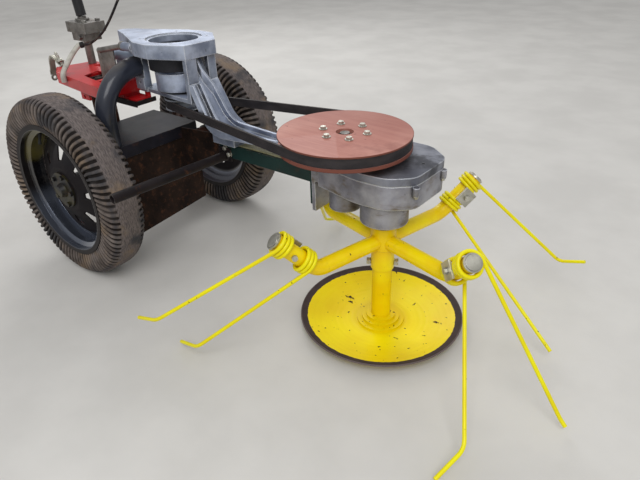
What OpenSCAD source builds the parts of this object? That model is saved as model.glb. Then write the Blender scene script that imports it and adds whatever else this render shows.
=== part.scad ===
// Walk-behind hay tedder: one spring-tine rotor over a skid dish, belt driven
// from a rear engine flange, on two lugged wheels. The engine is not fitted.
// Forward is +X, the machine's left is +Y. Places are measured from the rotor axis.

/* [Rotor] */
// Height of the arms' centre line above the ground
arm_z = 273; // [262:1:285]
// Diameter of the arm tube
arm_d = 42; // [36:1:44]
// Distance from the rotor axis to the corner of an arm's bend
arm_reach = 225; // [200:1:260]
// Radius of the arm's bend, at the tube's middle
arm_bend_r = 49; // [42:1:60]
// Rise of the arm's end above the horizontal
end_rise = 44; // [38:1:48]
// Turn of the arm's end back from the spoke's direction
end_sweep = 24; // [16:1:30]
// Length of the arm's straight end beyond its bend
end_length = 117; // [116:1:130]
// Direction of the first arm at rest
arm_start = 255.5; // [250:0.5:260]
// Diameter of the hub's barrel
hub_d = 70; // [66:1:76]
// Height of the hub's crown over the arms' tubes
hub_rise = 24; // [4:1:30]
// Diameter of the rotor shaft
shaft_d = 40; // [34:1:44]

/* [Tines] */
// Diameter of the tine wire
wire_d = 10; // [8:0.5:10.5]
// Radius of a coil, at the wire's middle
coil_r = 29; // [28:0.5:32]
// Length of one coil along the arm's end
coil_length = 28; // [26:1:30]
// Place of the inner coil's middle, from the end of the bend
inner_coil = 23; // [20:1:26]
// Place of the outer coil's middle, from the end of the bend
outer_coil = 98; // [94:1:101]
// Length of a tine from its coil to its bend
tine_length = 389; // [360:1:395]
// Length of a tine's bent tip
tip_length = 92; // [60:1:96]
// Width of the square clamp plate
clamp_w = 44; // [36:1:45]

/* [Skid dish] */
// Radius of the dish
dish_r = 233; // [210:1:250]
// Height of the dish's rim
dish_h = 30; // [24:1:40]
// Thickness of the dish's steel
dish_t = 4; // [3:0.5:5]
// Radius of the flat under the dish
dish_flat_r = 70; // [68:1:80]
// Diameter of the post between dish and hub
post_d = 55; // [48:1:58]
// Height at which the sleeve begins
sleeve_z = 186; // [170:1:200]

/* [Gear case] */
// Height of the case's underside
case_z = 402; // [396:1:408]
// Height of the arm's plate over the ground, at its top
deck_z = 487; // [484:1:490]
// Depth of the case's cover
cover_h = 22; // [18:1:26]
// Distance of the pulley's axis behind the rotor axis
pulley_back = 125; // [120:1:130]
// Diameter of the main bearing boss
main_boss_d = 128; // [110:1:132]
// Height of the main boss's end over the hub's crown
main_boss_gap = 18; // [6:1:20]
// Diameter of the input bearing boss
input_boss_d = 87; // [76:1:92]
// Height of the input boss's underside
input_boss_z = 338; // [330:1:350]

/* [Belt drive] */
// Radius of the wooden pulley's cheeks
pulley_r = 175; // [165:1:178]
// Height of the wooden pulley's top
pulley_z = 550; // [549:1:554]
// Thickness of the pulley's top cheek
cheek_t = 4; // [3:0.5:5]
// Thickness of the pulley's lower cheek
lower_cheek_t = 9; // [8:0.5:11]
// Height of the belt
belt_h = 26; // [24:1:27]
// Thickness of the belt
belt_t = 6; // [4:0.5:7]
// Radius of the small pulley under the belt
small_r = 48; // [44:1:54]
// Diameter of the clutch drum
drum_d = 142; // [120:1:146]
// Height of the clutch drum
drum_h = 52; // [40:1:56]
// Diameter of the drive shaft
drive_shaft_d = 24; // [20:1:26]

/* [Engine frame] */
// Distance of the engine's axis behind the rotor axis
engine_back = 740; // [732:1:746]
// Distance of the engine's axis to the right of the rotor axis
engine_side = 12; // [0:1:16]
// Height of the engine plate's top
engine_z = 726; // [716:1:736]
// Thickness of the engine plate
plate_t = 12; // [10:1:16]
// Depth of the skirt round the plate
skirt_h = 40; // [32:1:46]
// Diameter of the engine's spigot bore
spigot_d = 146; // [140:1:150]
// Outer diameter of the collar under the bore
collar_d = 168; // [160:1:172]
// Height of the collar's lower end
collar_z = 642; // [638:1:650]
// Diameter of the recess over the bore
recess_d = 166; // [160:1:170]
// Diameter of the engine's bolt circle
bolt_circle_d = 196; // [192:1:200]
// Diameter of the engine's bolt holes
bolt_hole_d = 9; // [8:0.5:10]
// Height of the shelf's top
shelf_z = 574; // [572:1:578]
// Thickness of the shelf
shelf_t = 12; // [8:1:14]

/* [Frame] */
// Distance of the wheel axle behind the rotor axis
axle_back = 976; // [960:1:990]
// Width of the beam
beam_w = 60; // [50:1:64]
// Height of the beam
beam_h = 42; // [38:1:46]
// Height of the beam's underside
beam_z = 396; // [396:1:402]
// Thickness of the beam's walls
beam_t = 4; // [3:0.5:5]
// Diameter of the cross bar
bar_d = 28; // [24:1:32]
// Height of the platform's top
platform_z = 422; // [418:1:426]
// Thickness of the platform's sheet
sheet_t = 3; // [2:0.5:4]
// Diameter of the bent support pipe
pipe_d = 60; // [54:1:62]
// Height of the red frame's top
red_z = 590; // [587:1:594]
// Depth of the red frame's flanges
red_h = 36; // [30:1:38]

/* [Wheels] */
// Radius of the tyre
tyre_r = 295; // [290:1:300]
// Half of the distance between the wheels' middles
half_track = 316; // [306:1:326]
// Widest half width of the tyre
tyre_half_w = 62; // [60:1:66]
// Depth of the grooves between the lugs
lug_depth = 9; // [6:1:11]
// Number of lugs round a tyre
lug_count = 92; // [60:1:96]
// Radius of the rim's flange
rim_r = 217.5; // [215:0.5:220]
// Half width of the rim
rim_half_w = 58; // [57:0.5:60]
// Depth of the wheel disc inside the outer flange
disc_depth = 76; // [60:1:82]
// How far the disc's middle stands out from its edge
disc_rise = 44; // [20:1:48]
// Diameter of the hub's barrel
wheel_hub_d = 76; // [70:1:84]
// Diameter of the axle
axle_d = 30; // [26:1:34]

/* [Handles] */
// Distance of the handle column behind the rotor axis
column_back = 1235; // [1225:1:1245]
// Diameter of the column's post
column_d = 28; // [26:1:32]
// Diameter of the handlebar tube
handlebar_d = 26; // [24:1:28]
// Height of the handlebar's head
head_z = 850; // [830:1:880]
// Height of the grips
grip_z = 1010; // [980:1:1050]
// Half of the distance between the grips
grip_half_w = 270; // [240:1:300]
// Distance of the grips' ends behind the rotor axis
grip_back = 1810; // [1760:1:1840]
// Length of a grip
grip_length = 120; // [105:1:130]

/* [Hidden] */
$fn = 48;

// Gap left at the seat of a still piece, and beside a shaft that turns
fit = 0.3;
run = 0.05;
// Overlap of two solids that are fused
eps = 0.05;
// What a tube stands proud of the bend it is fused with
seam = 0.4;

// Colours
alloy = [0.66, 0.68, 0.69];
steel = [0.55, 0.55, 0.56];
zinc = [0.75, 0.76, 0.74];
yellow = [0.93, 0.79, 0.05];
red = [0.78, 0.12, 0.10];
rust = [0.33, 0.20, 0.13];
black = [0.10, 0.10, 0.11];
rubber = [0.24, 0.21, 0.18];
wood = [0.55, 0.27, 0.21];

function unit(v) = v / norm(v);
function blend(a, b, t) = a * (1 - t) + b * t;

// Arm's end, where +X is the spoke's direction
end_axis = [cos(end_sweep) * cos(end_rise), -sin(end_sweep) * cos(end_rise), sin(end_rise)];
bend_angle = acos(end_axis[0]);
bend_roll = atan2(sin(end_sweep) * cos(end_rise), sin(end_rise));
bend_cut = arm_bend_r * tan(bend_angle / 2);
corner = [arm_reach, 0, arm_z];
end_start = corner + end_axis * bend_cut;
// Across and down, square to the arm's end
end_across = unit(cross([0, 0, 1], end_axis));
end_down = cross(end_across, end_axis);
arm_angles = [for (i = [0 : 3]) arm_start + 90 * i];

// Set of each tine, columns: arm, coil, turn, lean, tip bend. The odd ones are bent in use
tine_set = [
    [0, inner_coil, 102, 7, 42], [0, outer_coil, 105, 11, 34],
    [1, inner_coil, 107, 4.6, 45], [1, outer_coil, 70, -15, -43],
    [2, inner_coil, 147, -10, 1], [2, outer_coil, 105, 5, 5],
    [3, inner_coil, 104, 8, 35], [3, outer_coil, 104, 8, 35]];
// The bridge lies beside the clamp bolt, on the side away from the legs
bridge_turn = 270 + 22;
whole_turns = 2;

function tine_leg(s) = end_across * cos(s[2]) + end_down * sin(s[2]);
function tine_side(s) = -end_across * sin(s[2]) + end_down * cos(s[2]);
// Legs leave at the outer ends of their coils
function leg_at(s) = s[1] + (s[1] < (inner_coil + outer_coil) / 2 ? -1 : 1) * coil_length / 2;
function leg_start(s) = end_start + end_axis * leg_at(s) - tine_side(s) * coil_r;
function lean_dir(s) = tine_leg(s) * cos(s[3]) + end_axis * sin(s[3]);
function knee(s) = leg_start(s) + lean_dir(s) * tine_length;
function tip(s) = knee(s) + (lean_dir(s) * cos(s[4]) + tine_side(s) * sin(s[4])) * tip_length;
function turned(p, a) = [p[0] * cos(a) - p[1] * sin(a), p[0] * sin(a) + p[1] * cos(a), p[2]];

// Half of the tines' reach ahead, and of the handles' reach behind, set the origin
front_reach = max([for (s = tine_set) max(turned(tip(s), arm_angles[s[0]])[0],
    turned(knee(s), arm_angles[s[0]])[0])]) + wire_d / 2;
rotor_x = (grip_back - front_reach) / 2;

// Heights that follow
hub_top = arm_z + arm_d / 2 + hub_rise;
hub_bottom = arm_z - arm_d / 2;
main_boss_z = hub_top + main_boss_gap;
web_t = 8;
web_z = deck_z - web_t;
case_top = deck_z - cover_h;
beam_top = beam_z + beam_h;
lower_cheek_z = pulley_z - cheek_t - belt_h - 2 * fit - lower_cheek_t;
belt_z = pulley_z - cheek_t - fit - belt_h;
core_r = pulley_r - belt_t - 2;
engine_x = -engine_back;
engine_y = -engine_side;
pulley_x = -pulley_back;
axle_x = -axle_back;
column_x = -column_back;
skirt_z = engine_z - skirt_h;

module placed() {
    translate([rotor_x, 0, 0]) children();
}

// A round bar between two points
module bar(a, b, d) {
    v = b - a;
    translate(a) rotate([0, acos(v[2] / norm(v)), atan2(v[1], v[0])])
        cylinder(d = d, h = norm(v));
}

// A wire swept along points: each ring's frame is carried from the one before
function tangents(p) = [for (i = [0 : len(p) - 1])
    unit(p[min(i + 1, len(p) - 1)] - p[max(i - 1, 0)])];
function carry(t, n, i) = i >= len(t) ? [] :
    let (m = unit(n - t[i] * (n * t[i]))) concat([m], carry(t, m, i + 1));
module sweep(p, r, sides) {
    t = tangents(p);
    first = abs(t[0][2]) < 0.9 ? [0, 0, 1] : [1, 0, 0];
    n = carry(t, unit(cross(t[0], first)), 0);
    rings = [for (i = [0 : len(p) - 1]) let (b = cross(t[i], n[i]))
        for (k = [0 : sides - 1]) p[i] + r * (n[i] * cos(360 * k / sides)
            + b * sin(360 * k / sides))];
    last = (len(p) - 1) * sides;
    polyhedron(points = rings, convexity = 10, faces = concat(
        [[for (k = [0 : sides - 1]) k]],
        [[for (k = [sides - 1 : -1 : 0]) last + k]],
        [for (i = [0 : len(p) - 2]) for (k = [0 : sides - 1])
            let (a = i * sides, b = a + sides, m = (k + 1) % sides)
            [a + m, a + k, b + k, b + m]]));
}

// A smooth curve through hand-set points, with n steps a span
function spline(p, n) = concat([for (i = [0 : len(p) - 2]) for (j = [0 : n - 1])
    let (t = j / n, a = p[max(i - 1, 0)], b = p[i], c = p[i + 1], d = p[min(i + 2, len(p) - 1)])
    0.5 * (2 * b + (c - a) * t + (2 * a - 5 * b + 4 * c - d) * t * t
        + (3 * b - a - 3 * c + d) * t * t * t)], [p[len(p) - 1]]);

// Engine frame

// Outline of the engine plate from its rear tongue, about the engine's axis
plate_line = [[-262, -12], [-185, -44], [-52, -110], [17, -118], [129, -71], [134, 42], [50, 112],
    [-10, 116], [-60, 108], [-203, 44], [-232, 38], [-262, 12]];
skirt_t = 9;
wall_x = -611;
wall_t = 15;
near_leg_y = [-84, -46];
far_leg_y = [-2, 28];
rear_leg_x = -868;
rear_leg_y = -70;
rear_leg_w = 32;

module engine_plate() {
    flange();
    rod_boss();
}
module flange() color(alloy) placed() translate([engine_x, engine_y, 0]) difference() {
    union() {
        difference() {
            translate([0, 0, skirt_z]) linear_extrude(skirt_h) polygon(plate_line);
            translate([0, 0, skirt_z - 1]) linear_extrude(skirt_h - plate_t + 1)
                offset(delta = -skirt_t) polygon(plate_line);
        }
        translate([0, 0, collar_z]) cylinder(d = collar_d, h = engine_z - plate_t - collar_z + eps);
    }
    translate([0, 0, collar_z - 1]) cylinder(d = spigot_d, h = engine_z - collar_z + 2);
    translate([0, 0, engine_z - 4]) cylinder(d = recess_d, h = 5);
    for (a = [45 : 90 : 315]) rotate([0, 0, a]) translate([bolt_circle_d / 2, 0, skirt_z])
        cylinder(d = bolt_hole_d, h = skirt_h + 1);
}
// Boss on the skirt that the control rod is bolted to
module rod_boss() color(alloy) placed()
    bar([rod_seat_x + fit, rod_high[1], rod_seat_z], [rod_seat_x + 44, rod_high[1], rod_seat_z], 26);

// Shelf under the drum, its bearing, and the front wall and legs up to the plate
shelf_line = [[rear_leg_x + 4, -62], [-700, -80], [wall_x - wall_t, -84], [wall_x - wall_t, 28],
    [-700, 58], [rear_leg_x + 4, 38]];
sill_z = 596;
sill_h = 14;
module bell_frame() color(alloy) placed() difference() {
    union() {
        translate([0, 0, shelf_z - shelf_t]) linear_extrude(shelf_t) polygon(shelf_line);
        for (y = [near_leg_y, far_leg_y]) translate([wall_x - wall_t, y[0], shelf_z - shelf_t])
            cube([wall_t - fit, y[1] - y[0], skirt_z - shelf_z + shelf_t]);
        translate([wall_x - wall_t, near_leg_y[1] - 1, sill_z])
            cube([wall_t - fit, far_leg_y[0] - near_leg_y[1] + 2, sill_h]);
        for (y = [rear_leg_y, 2 * engine_y - rear_leg_y - 22])
            translate([rear_leg_x, y, shelf_z - shelf_t])
                cube([rear_leg_w, 22, skirt_z - shelf_z + shelf_t]);
        // Ear with a hole at the foot of the rear leg
        translate([rear_leg_x - 8, rear_leg_y - 6, shelf_z - 4]) cube([rear_leg_w + 8, 8, 36]);
        translate([engine_x, engine_y, shelf_z - shelf_t - 8]) cylinder(d = 64, h = shelf_t + 10);
    }
    translate([engine_x, engine_y, shelf_z - shelf_t - 9])
        cylinder(d = drive_shaft_d + 2 * run, h = 40);
    translate([rear_leg_x + 12, 0, shelf_z + 16]) rotate([90, 0, 0]) cylinder(d = 10, h = 200);
}

// Swept arm from the bell to the gear case: one bent web with three ribs
slope = 64;
slope_bend_r = 80;
web_top_z = 618;
arm_corner_x = wall_x + (web_top_z - deck_z) / tan(slope);
slope_top = [arm_corner_x - (skirt_z - deck_z) / tan(slope), skirt_z];
arm_front_x = -60;
near_edge = -54;
far_edge = 40;
rib_t = 7;
rib_h = 15;
web_line = [[wall_x, -84], [-550, -86], [-500, -84], [-300, near_edge], [arm_front_x, near_edge],
    [arm_front_x, far_edge], [-240, far_edge], [-300, 24], [-390, 25], [-540, 37], [wall_x, 28]];
// The web goes on up between the bell's front legs
back_line = [[wall_x - 60, near_leg_y[1] + fit], [wall_x + 4, near_leg_y[1] + fit],
    [wall_x + 4, far_leg_y[0] - fit], [wall_x - 60, far_leg_y[0] - fit]];
function strip_along(p, w) = concat(p, [for (i = [len(p) - 1 : -1 : 0]) p[i] + [0, w]]);
near_rib = strip_along([[wall_x, -84], [-550, -86], [-500, -84], [-300, near_edge],
    [arm_front_x, near_edge]], rib_t);
mid_rib = strip_along([[wall_x, -57], [-530, -57]], rib_t);
far_rib = strip_along([[-660, -40], [wall_x, -33], [-590, -14], [-548, -4], [-500, -2], [-352, -14],
    [-240, -22]], rib_t);

// Outline of a band that follows the bent web, from depth lo to depth hi over its top
function bent_line(k, n) = let (c = slope_bend_r * tan(slope / 2), r = slope_bend_r - k,
        ox = arm_corner_x + c, oz = deck_z + slope_bend_r)
    concat([[slope_top[0] + k / sin(slope), skirt_z]],
        [for (i = [0 : n]) let (a = 270 - slope + slope * i / n)
            [ox + r * cos(a), oz + r * sin(a)]],
        [[arm_front_x, deck_z + k]]);
module bent_band(lo, hi, line, top) {
    p = concat(bent_line(lo, 12), [for (i = [14 : -1 : 0]) bent_line(hi, 12)[i]]);
    intersection() {
        translate([0, 150, 0]) rotate([90, 0, 0]) linear_extrude(300) polygon(p);
        translate([0, 0, deck_z - 40]) linear_extrude(top - deck_z + 40) polygon(line);
    }
}
module swept_arm() color(alloy) placed() difference() {
    union() {
        bent_band(-web_t, 0, web_line, web_top_z);
        bent_band(-eps, rib_h, near_rib, web_top_z);
        bent_band(-eps, rib_h, mid_rib, web_top_z);
        bent_band(-web_t, rib_h, far_rib, skirt_z);
        bent_band(-web_t, 0, back_line, skirt_z);
        // Saddle that seats on the beam
        translate([-580, -48, beam_top + strip_t])
            cube([90, 80, web_z - beam_top - strip_t + 1]);
    }
    translate([pulley_x, 0, web_z - 1]) cylinder(d = 56, h = web_t + rib_h + 2);
    // Room for the bell's sill
    translate([wall_x - wall_t - fit, near_leg_y[1] - 1, sill_z - 20])
        cube([wall_t + fit, far_leg_y[0] - near_leg_y[1] + 2, sill_h + fit + 20]);
}

// Gear case

case_corners = [[-178, -50], [-40, -80], [45, -74], [102, -27], [106, 122], [36, 178],
    [-70, 178], [-178, 104]];
// Corners eased by a short curve, but for the two beside the lug
case_ease = 24;
function toward(a, b) = a + unit(b - a) * case_ease;
function eased(p, n) = let (m = len(p)) [for (i = [0 : m - 1])
    let (a = toward(p[i], p[(i + m - 1) % m]), b = toward(p[i], p[(i + 1) % m]))
    for (k = [0 : n]) blend(blend(a, p[i], k / n), blend(p[i], b, k / n), k / n)];
case_rounds = eased(case_corners, 5);
case_outline = concat([case_corners[0]], [for (i = [6 : 41]) case_rounds[i]], [case_corners[7]]);
// Lug that hangs behind the input boss and takes the beam's end
lug_t = 37;
lug_z = 311;

module gear_case() color(alloy) placed() difference() {
    union() {
        translate([0, 0, case_z]) linear_extrude(case_top - case_z) polygon(case_outline);
        translate([0, 0, main_boss_z]) cylinder(d = main_boss_d, h = case_z - main_boss_z + 1);
        translate([pulley_x, 0, input_boss_z])
            cylinder(d = input_boss_d, h = case_z - input_boss_z + 1);
        translate([-178 - lug_t, -beam_w / 2 - 2, lug_z])
            cube([12, beam_w + 4, web_z - lug_z]);
        translate([-178 - lug_t, -beam_w / 2 - 2, case_z])
            cube([lug_t + 1, beam_w + 4, case_top - case_z]);
    }
    translate([0, 0, main_boss_z - 1]) cylinder(d = shaft_d + 2 * run, h = shaft_up + 2);
    translate([pulley_x, 0, case_z - 20])
        cylinder(d = pulley_shaft_d + 2 * run, h = case_top - case_z + 30);
}

module case_cover() color(alloy) placed() difference() {
    translate([0, 0, case_top]) linear_extrude(deck_z - case_top) polygon(case_outline);
    translate([-400, near_edge - fit, web_z])
        cube([400 + arm_front_x + fit, far_edge - near_edge + 2 * fit, web_t + 2]);
    translate([pulley_x, 0, case_top - 1]) cylinder(d = pulley_shaft_d + 2 * run, h = cover_h);
    translate([72, 60, deck_z - 5]) cylinder(d = 10, h = 10);
}

// Beam and what hangs on it

beam_rear_x = -575;
end_plate_t = 6;
beam_front_x = -178 - lug_t;
end_plate_z = lug_z + 19;
strip_t = 4;

module beam() color([0.08, 0.20, 0.20]) placed() {
    difference() {
        translate([beam_rear_x, -beam_w / 2, beam_z])
            cube([beam_front_x - end_plate_t - beam_rear_x, beam_w, beam_h]);
        translate([beam_rear_x - 1, -beam_w / 2 + beam_t, beam_z - 1])
            cube([600, beam_w - 2 * beam_t, beam_h - beam_t + 1]);
    }
    translate([beam_front_x - end_plate_t, -beam_w / 2 - 2, end_plate_z])
        cube([end_plate_t, beam_w + 4, beam_top - end_plate_z]);
}
module beam_strip() color([0.80, 0.77, 0.55]) placed()
    translate([beam_rear_x, -beam_w / 2 + 6, beam_top])
        cube([beam_front_x - end_plate_t - 4 - beam_rear_x, beam_w - 12, strip_t]);

// The bar is welded low on the beam
bar_z = beam_z + 3;
bar_end = [-583, -415, bar_z];
bar_root = [-551, -beam_w / 2 - 2, bar_z];
module cross_bar() color([0.16, 0.13, 0.13]) placed() {
    difference() {
        bar(bar_end, bar_root, bar_d);
        bar(bar_end - unit(bar_root - bar_end), blend(bar_end, bar_root, 0.9), bar_d - 6);
    }
    // Plate that the bar is welded to, on the side of the beam
    translate([bar_root[0] - 24, -beam_w / 2 - 5, bar_z - bar_d / 2]) cube([50, 5, beam_h]);
}

// Platform with its down-turned front flange
platform_x = [-1062, -830];
platform_y = [-246, 98];
flange_h = 40;
module platform() color([0.17, 0.18, 0.22]) placed() difference() {
    union() {
        translate([platform_x[0], platform_y[0], platform_z - sheet_t])
            cube([platform_x[1] - platform_x[0], platform_y[1] - platform_y[0], sheet_t]);
        translate([platform_x[1] - sheet_t, platform_y[0], platform_z - flange_h])
            cube([sheet_t, platform_y[1] - platform_y[0], flange_h]);
    }
    translate([tower_x, tower_y, platform_z - 20]) cylinder(d = tower_d + 2 * fit, h = 40);
}

// Rusty sheet under the platform, and the plate from it to the beam's far side
apron_x = -838;
apron_t = 4;
module apron() color(rust) placed()
    translate([apron_x, 0, 0]) rotate([90, 0, 90]) linear_extrude(apron_t) polygon([
        [platform_y[0] + 12, 105], [platform_y[1], 132], [platform_y[1], platform_z - sheet_t],
        [platform_y[0] + 12, platform_z - sheet_t]]);
tie_front_x = -548;
module tie_plate() color(rust) placed() translate([0, beam_w / 2 + 5, 0]) rotate([90, 0, 0])
    linear_extrude(5) polygon([[apron_x + apron_t, 250], [-690, 320], [tie_front_x, beam_z + 4],
        [tie_front_x, beam_top], [platform_x[1] + fit, beam_top - 20],
        [platform_x[1] + fit, platform_z - flange_h - fit],
        [apron_x + apron_t, platform_z - flange_h - fit]]);

// Pipe that leaves the rear leg level, bends down and stands on the platform
pipe_x = -864;
pipe_z = 640;
pipe_bend_r = 140;
pipe_gap = 9;
pipe_side = half_track - tyre_half_w - pipe_d / 2 - pipe_gap;
module support_pipe() color(black) placed() {
    run_y = -rear_leg_y + fit;
    translate([pipe_x, -run_y, pipe_z]) rotate([90, 0, 0])
        cylinder(d = pipe_d, h = pipe_side - pipe_bend_r - run_y + seam);
    translate([pipe_x, -pipe_side + pipe_bend_r, pipe_z - pipe_bend_r]) rotate([90, 0, -90])
        rotate_extrude(angle = 90) translate([pipe_bend_r, 0]) circle(d = pipe_d - seam);
    translate([pipe_x, -pipe_side, platform_z])
        cylinder(d = pipe_d, h = pipe_z - pipe_bend_r - platform_z + seam);
}

// Axle case with its side tubes, a pedestal for the platform and a tower for the red frame
case_r = 82;
case_half_w = 92;
tower_x = -1090;
tower_y = -75;
tower_d = 76;
tube_end = half_track - 66;
module axle_case() color(rust) placed() difference() {
    union() {
        translate([axle_x, case_half_w, tyre_r]) rotate([90, 0, 0])
            cylinder(r = case_r, h = 2 * case_half_w);
        translate([axle_x, tube_end, tyre_r]) rotate([90, 0, 0]) cylinder(d = 62, h = 2 * tube_end);
        for (s = [-1, 1]) translate([axle_x, s * (case_half_w - 5) + 6, tyre_r])
            rotate([90, 0, 0]) cylinder(r = case_r + 10, h = 12);
        translate([axle_x - 55, -70, tyre_r]) cube([110, 140, platform_z - sheet_t - tyre_r]);
        translate([tower_x - 45, tower_y - 45, tyre_r - 30]) cube([100, 90 - tower_y / 2, 60]);
        translate([tower_x, tower_y, tyre_r]) cylinder(d = tower_d, h = rib_z - tyre_r);
    }
    translate([axle_x, half_track, tyre_r]) rotate([90, 0, 0])
        cylinder(d = axle_d + 2 * fit, h = 2 * half_track);
}
// How far the axle goes past the wheels' middles
axle_out = 14;
module axle() color(steel) placed() translate([axle_x, half_track + axle_out, tyre_r])
    rotate([90, 0, 0]) cylinder(d = axle_d, h = 2 * (half_track + axle_out));

// Red rear frame: a tray turned over, off to the right, with one opening and an ear for the column
red_t = 4;
red_front = -900;
red_line = [[red_front, -190], [-1225, -147], [-1296, -104], [-1273, -28], [-1266, 24], [-1204, 24],
    [-1200, -18], [red_front, -12]];
window = [[-1095, -122], [-1117, -57], [-946, -57], [-946, -146]];
rib_z = red_z - red_t - 18;
shelf_bottom = shelf_z - shelf_t;
tongue_y = [-110.5, -52];
tongue_z = 530;
tongue_h = 14;
module red_frame() color(red) placed() {
    difference() {
        translate([0, 0, red_z - red_h]) linear_extrude(red_h) polygon(red_line);
        translate([0, 0, red_z - red_h - 1]) linear_extrude(red_h - red_t + 1)
            offset(delta = -red_t) polygon(red_line);
        translate([0, 0, red_z - 10]) linear_extrude(20) polygon(window);
        translate([column_x, 0, red_z - 10]) cylinder(d = column_d + 2 * fit, h = 20);
    }
    // Ribs across the tray: one stands on the tower, one takes the control rod
    for (x = [tower_x - tower_d / 2, rod_high[0] - 12]) translate([x, -150, rib_z])
        cube([20, 120, red_t + 14 + eps]);
    // Tongue that reaches forward under the shelf
    translate([-1000, tongue_y[0], tongue_z + fit])
        cube([154, tongue_y[1] - tongue_y[0], tongue_h]);
    translate([-1000, tongue_y[0], tongue_z + fit])
        cube([1000 + red_front - red_t, tongue_y[1] - tongue_y[0], red_z - red_h - tongue_z + 2]);
    translate([rear_leg_x + 6, tongue_y[1] - 10, tongue_z + 10])
        cube([16, 10, shelf_bottom - fit - tongue_z - 10]);
    // Ear under the near edge
    translate([-1060, -167, red_z - red_h - 24]) difference() {
        cube([46, 8, 26]);
        translate([20, -1, 10]) rotate([-90, 0, 0]) cylinder(d = 11, h = 20);
    }
}
// Level angle that carries the tongue, with its two lips
lip_h = 10;
module rear_angle() color(steel) placed() {
    translate([-1010, tongue_y[0] - 4 - fit, tongue_z - 4]) cube([168, 77, 4]);
    translate([-1010, tongue_y[0] - 4 - fit, tongue_z - 8]) cube([168, 4, 8 + lip_h]);
    translate([-846 + fit, tongue_y[0] - 4 - fit, tongue_z - 4]) cube([4 - fit, 77, 4 + lip_h]);
}

// Toothed wheel that shows in the red frame's opening
tooth_count = 14;
module sprocket() color([0.20, 0.17, 0.15]) placed() translate([tower_x + 28, tower_y - 15, rib_z]) {
    linear_extrude(8) {
        circle(r = 28);
        for (i = [0 : tooth_count - 1]) rotate(360 * i / tooth_count)
            translate([23, -2.5]) square([13, 5]);
    }
    cylinder(d = 26, h = 14);
}

// Tube that couples the engine frame to the red frame
coupling_y = -45;
coupling_z = 662;
module coupling_tube() color([0.50, 0.56, 0.64]) placed() {
    translate([-1000, coupling_y, coupling_z]) rotate([0, 90, 0])
        difference() {
            cylinder(d = 48, h = 1000 + rear_leg_x - fit);
            translate([0, 0, -1]) cylinder(d = 30, h = 40);
        }
    translate([-985, coupling_y - 16, red_z]) cube([60, 32, coupling_z - red_z - 10]);
}

// Handles

module column_post() color(steel) placed()
    translate([column_x, 0, red_z - red_h + 2]) cylinder(d = column_d, h = post_top - red_z + red_h - 2);
clamp_z = 672;
module column_clamp() color(steel) placed() difference() {
    union() {
        translate([column_x - 32, -32, clamp_z]) cube([76, 64, 26]);
        translate([column_x - 44, -40, clamp_z + 28]) cube([112, 80, 34]);
        translate([column_x, 0, clamp_z]) cylinder(d = 46, h = 70);
        for (s = [-1, 1]) {
            translate([column_x + 50, s * 26, clamp_z + 60]) cylinder(d = 16, h = 10, $fn = 6);
            translate([column_x + 20, s * 30, clamp_z + 13]) rotate([-90 * s, 0, 0])
                cylinder(d = 16, h = 12, $fn = 6);
        }
    }
    translate([column_x, 0, clamp_z - 1]) cylinder(d = column_d + 2 * fit, h = 100);
}

// Column top and two bars that spread back to the grips
head_lean = 12;
neck_d = 34;
head = [column_x - head_lean, 0, head_z];
post_top = clamp_z + 76;
// The neck leans, so its lower rim dips under its middle
neck_z = post_top + fit + neck_d / 2 * head_lean / (head_z - post_top);
function brace(s) = blend(head, [-grip_back + 170, s * grip_half_w, grip_z], 0.45);
module handlebar() color(black) placed() {
    bar([column_x, 0, neck_z], head, neck_d);
    translate(head) sphere(d = 38);
    for (s = [-1, 1]) {
        knuckle = [-grip_back + 170, s * grip_half_w, grip_z];
        bar(head, knuckle, handlebar_d);
        translate(knuckle) sphere(d = handlebar_d + 2);
        bar(knuckle, [-grip_back + 6, s * grip_half_w, grip_z], handlebar_d);
    }
    bar(brace(-1), brace(1), 18);
}
module grips() color(black) placed() for (s = [-1, 1])
    translate([-grip_back, s * grip_half_w, grip_z]) rotate([0, 90, 0]) difference() {
        union() {
            cylinder(d = 36, h = grip_length);
            translate([0, 0, grip_length - 6]) cylinder(d = 42, h = 6);
        }
        translate([0, 0, 6]) cylinder(d = handlebar_d + 2 * fit, h = grip_length);
    }
module hand_levers() color(zinc) placed() for (s = [-1, 1]) {
    translate([-grip_back + 128, s * grip_half_w, grip_z]) rotate([0, 90, 0]) difference() {
        cylinder(d = 40, h = 22);
        translate([0, 0, -1]) cylinder(d = handlebar_d + 2 * fit, h = 30);
    }
    translate([-grip_back + 132, s * grip_half_w - 5, grip_z - 34]) cube([14, 10, 18]);
    bar([-grip_back + 139, s * grip_half_w, grip_z - 32], [-grip_back + 20, s * grip_half_w, grip_z - 44], 9);
}

// Bent rod with its washer, from the engine plate down to the red frame
rod_d = 17;
rod_high = [-1008, -98, 676];
rod_seat_x = -872;
rod_seat_z = 702;
module control_rod() color(steel) placed() {
    bar([rod_high[0] - 2, rod_high[1], red_z - red_t + fit], rod_high, rod_d);
    translate(rod_high) sphere(d = rod_d + 2);
    bar(rod_high, [rod_seat_x - 5, rod_high[1], rod_seat_z], rod_d);
    bar([rod_seat_x - 10, rod_high[1], rod_seat_z], [rod_seat_x, rod_high[1], rod_seat_z], 28);
    // Web in the bend
    translate([rod_high[0], rod_high[1] + 2.5, 0]) rotate([90, 0, 0]) linear_extrude(5)
        polygon([[0, red_z + 12], [58, red_z + 18], [74, red_z + 34], [74, rod_seat_z - 14],
            [0, rod_high[2]]]);
}

// Pale hose over the cable's lower end
hose_route = [[-1180, -52, 668], [-1188, -64, 666], [-1186, -92, 646], [-1168, -128, 624],
    [-1153, -156, 605], [-1148, -166.3, 589], [-1148, -166.3, 572]];
module hose() color([0.75, 0.74, 0.70]) placed() sweep(spline(hose_route, 3), 8.5, 8);

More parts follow.
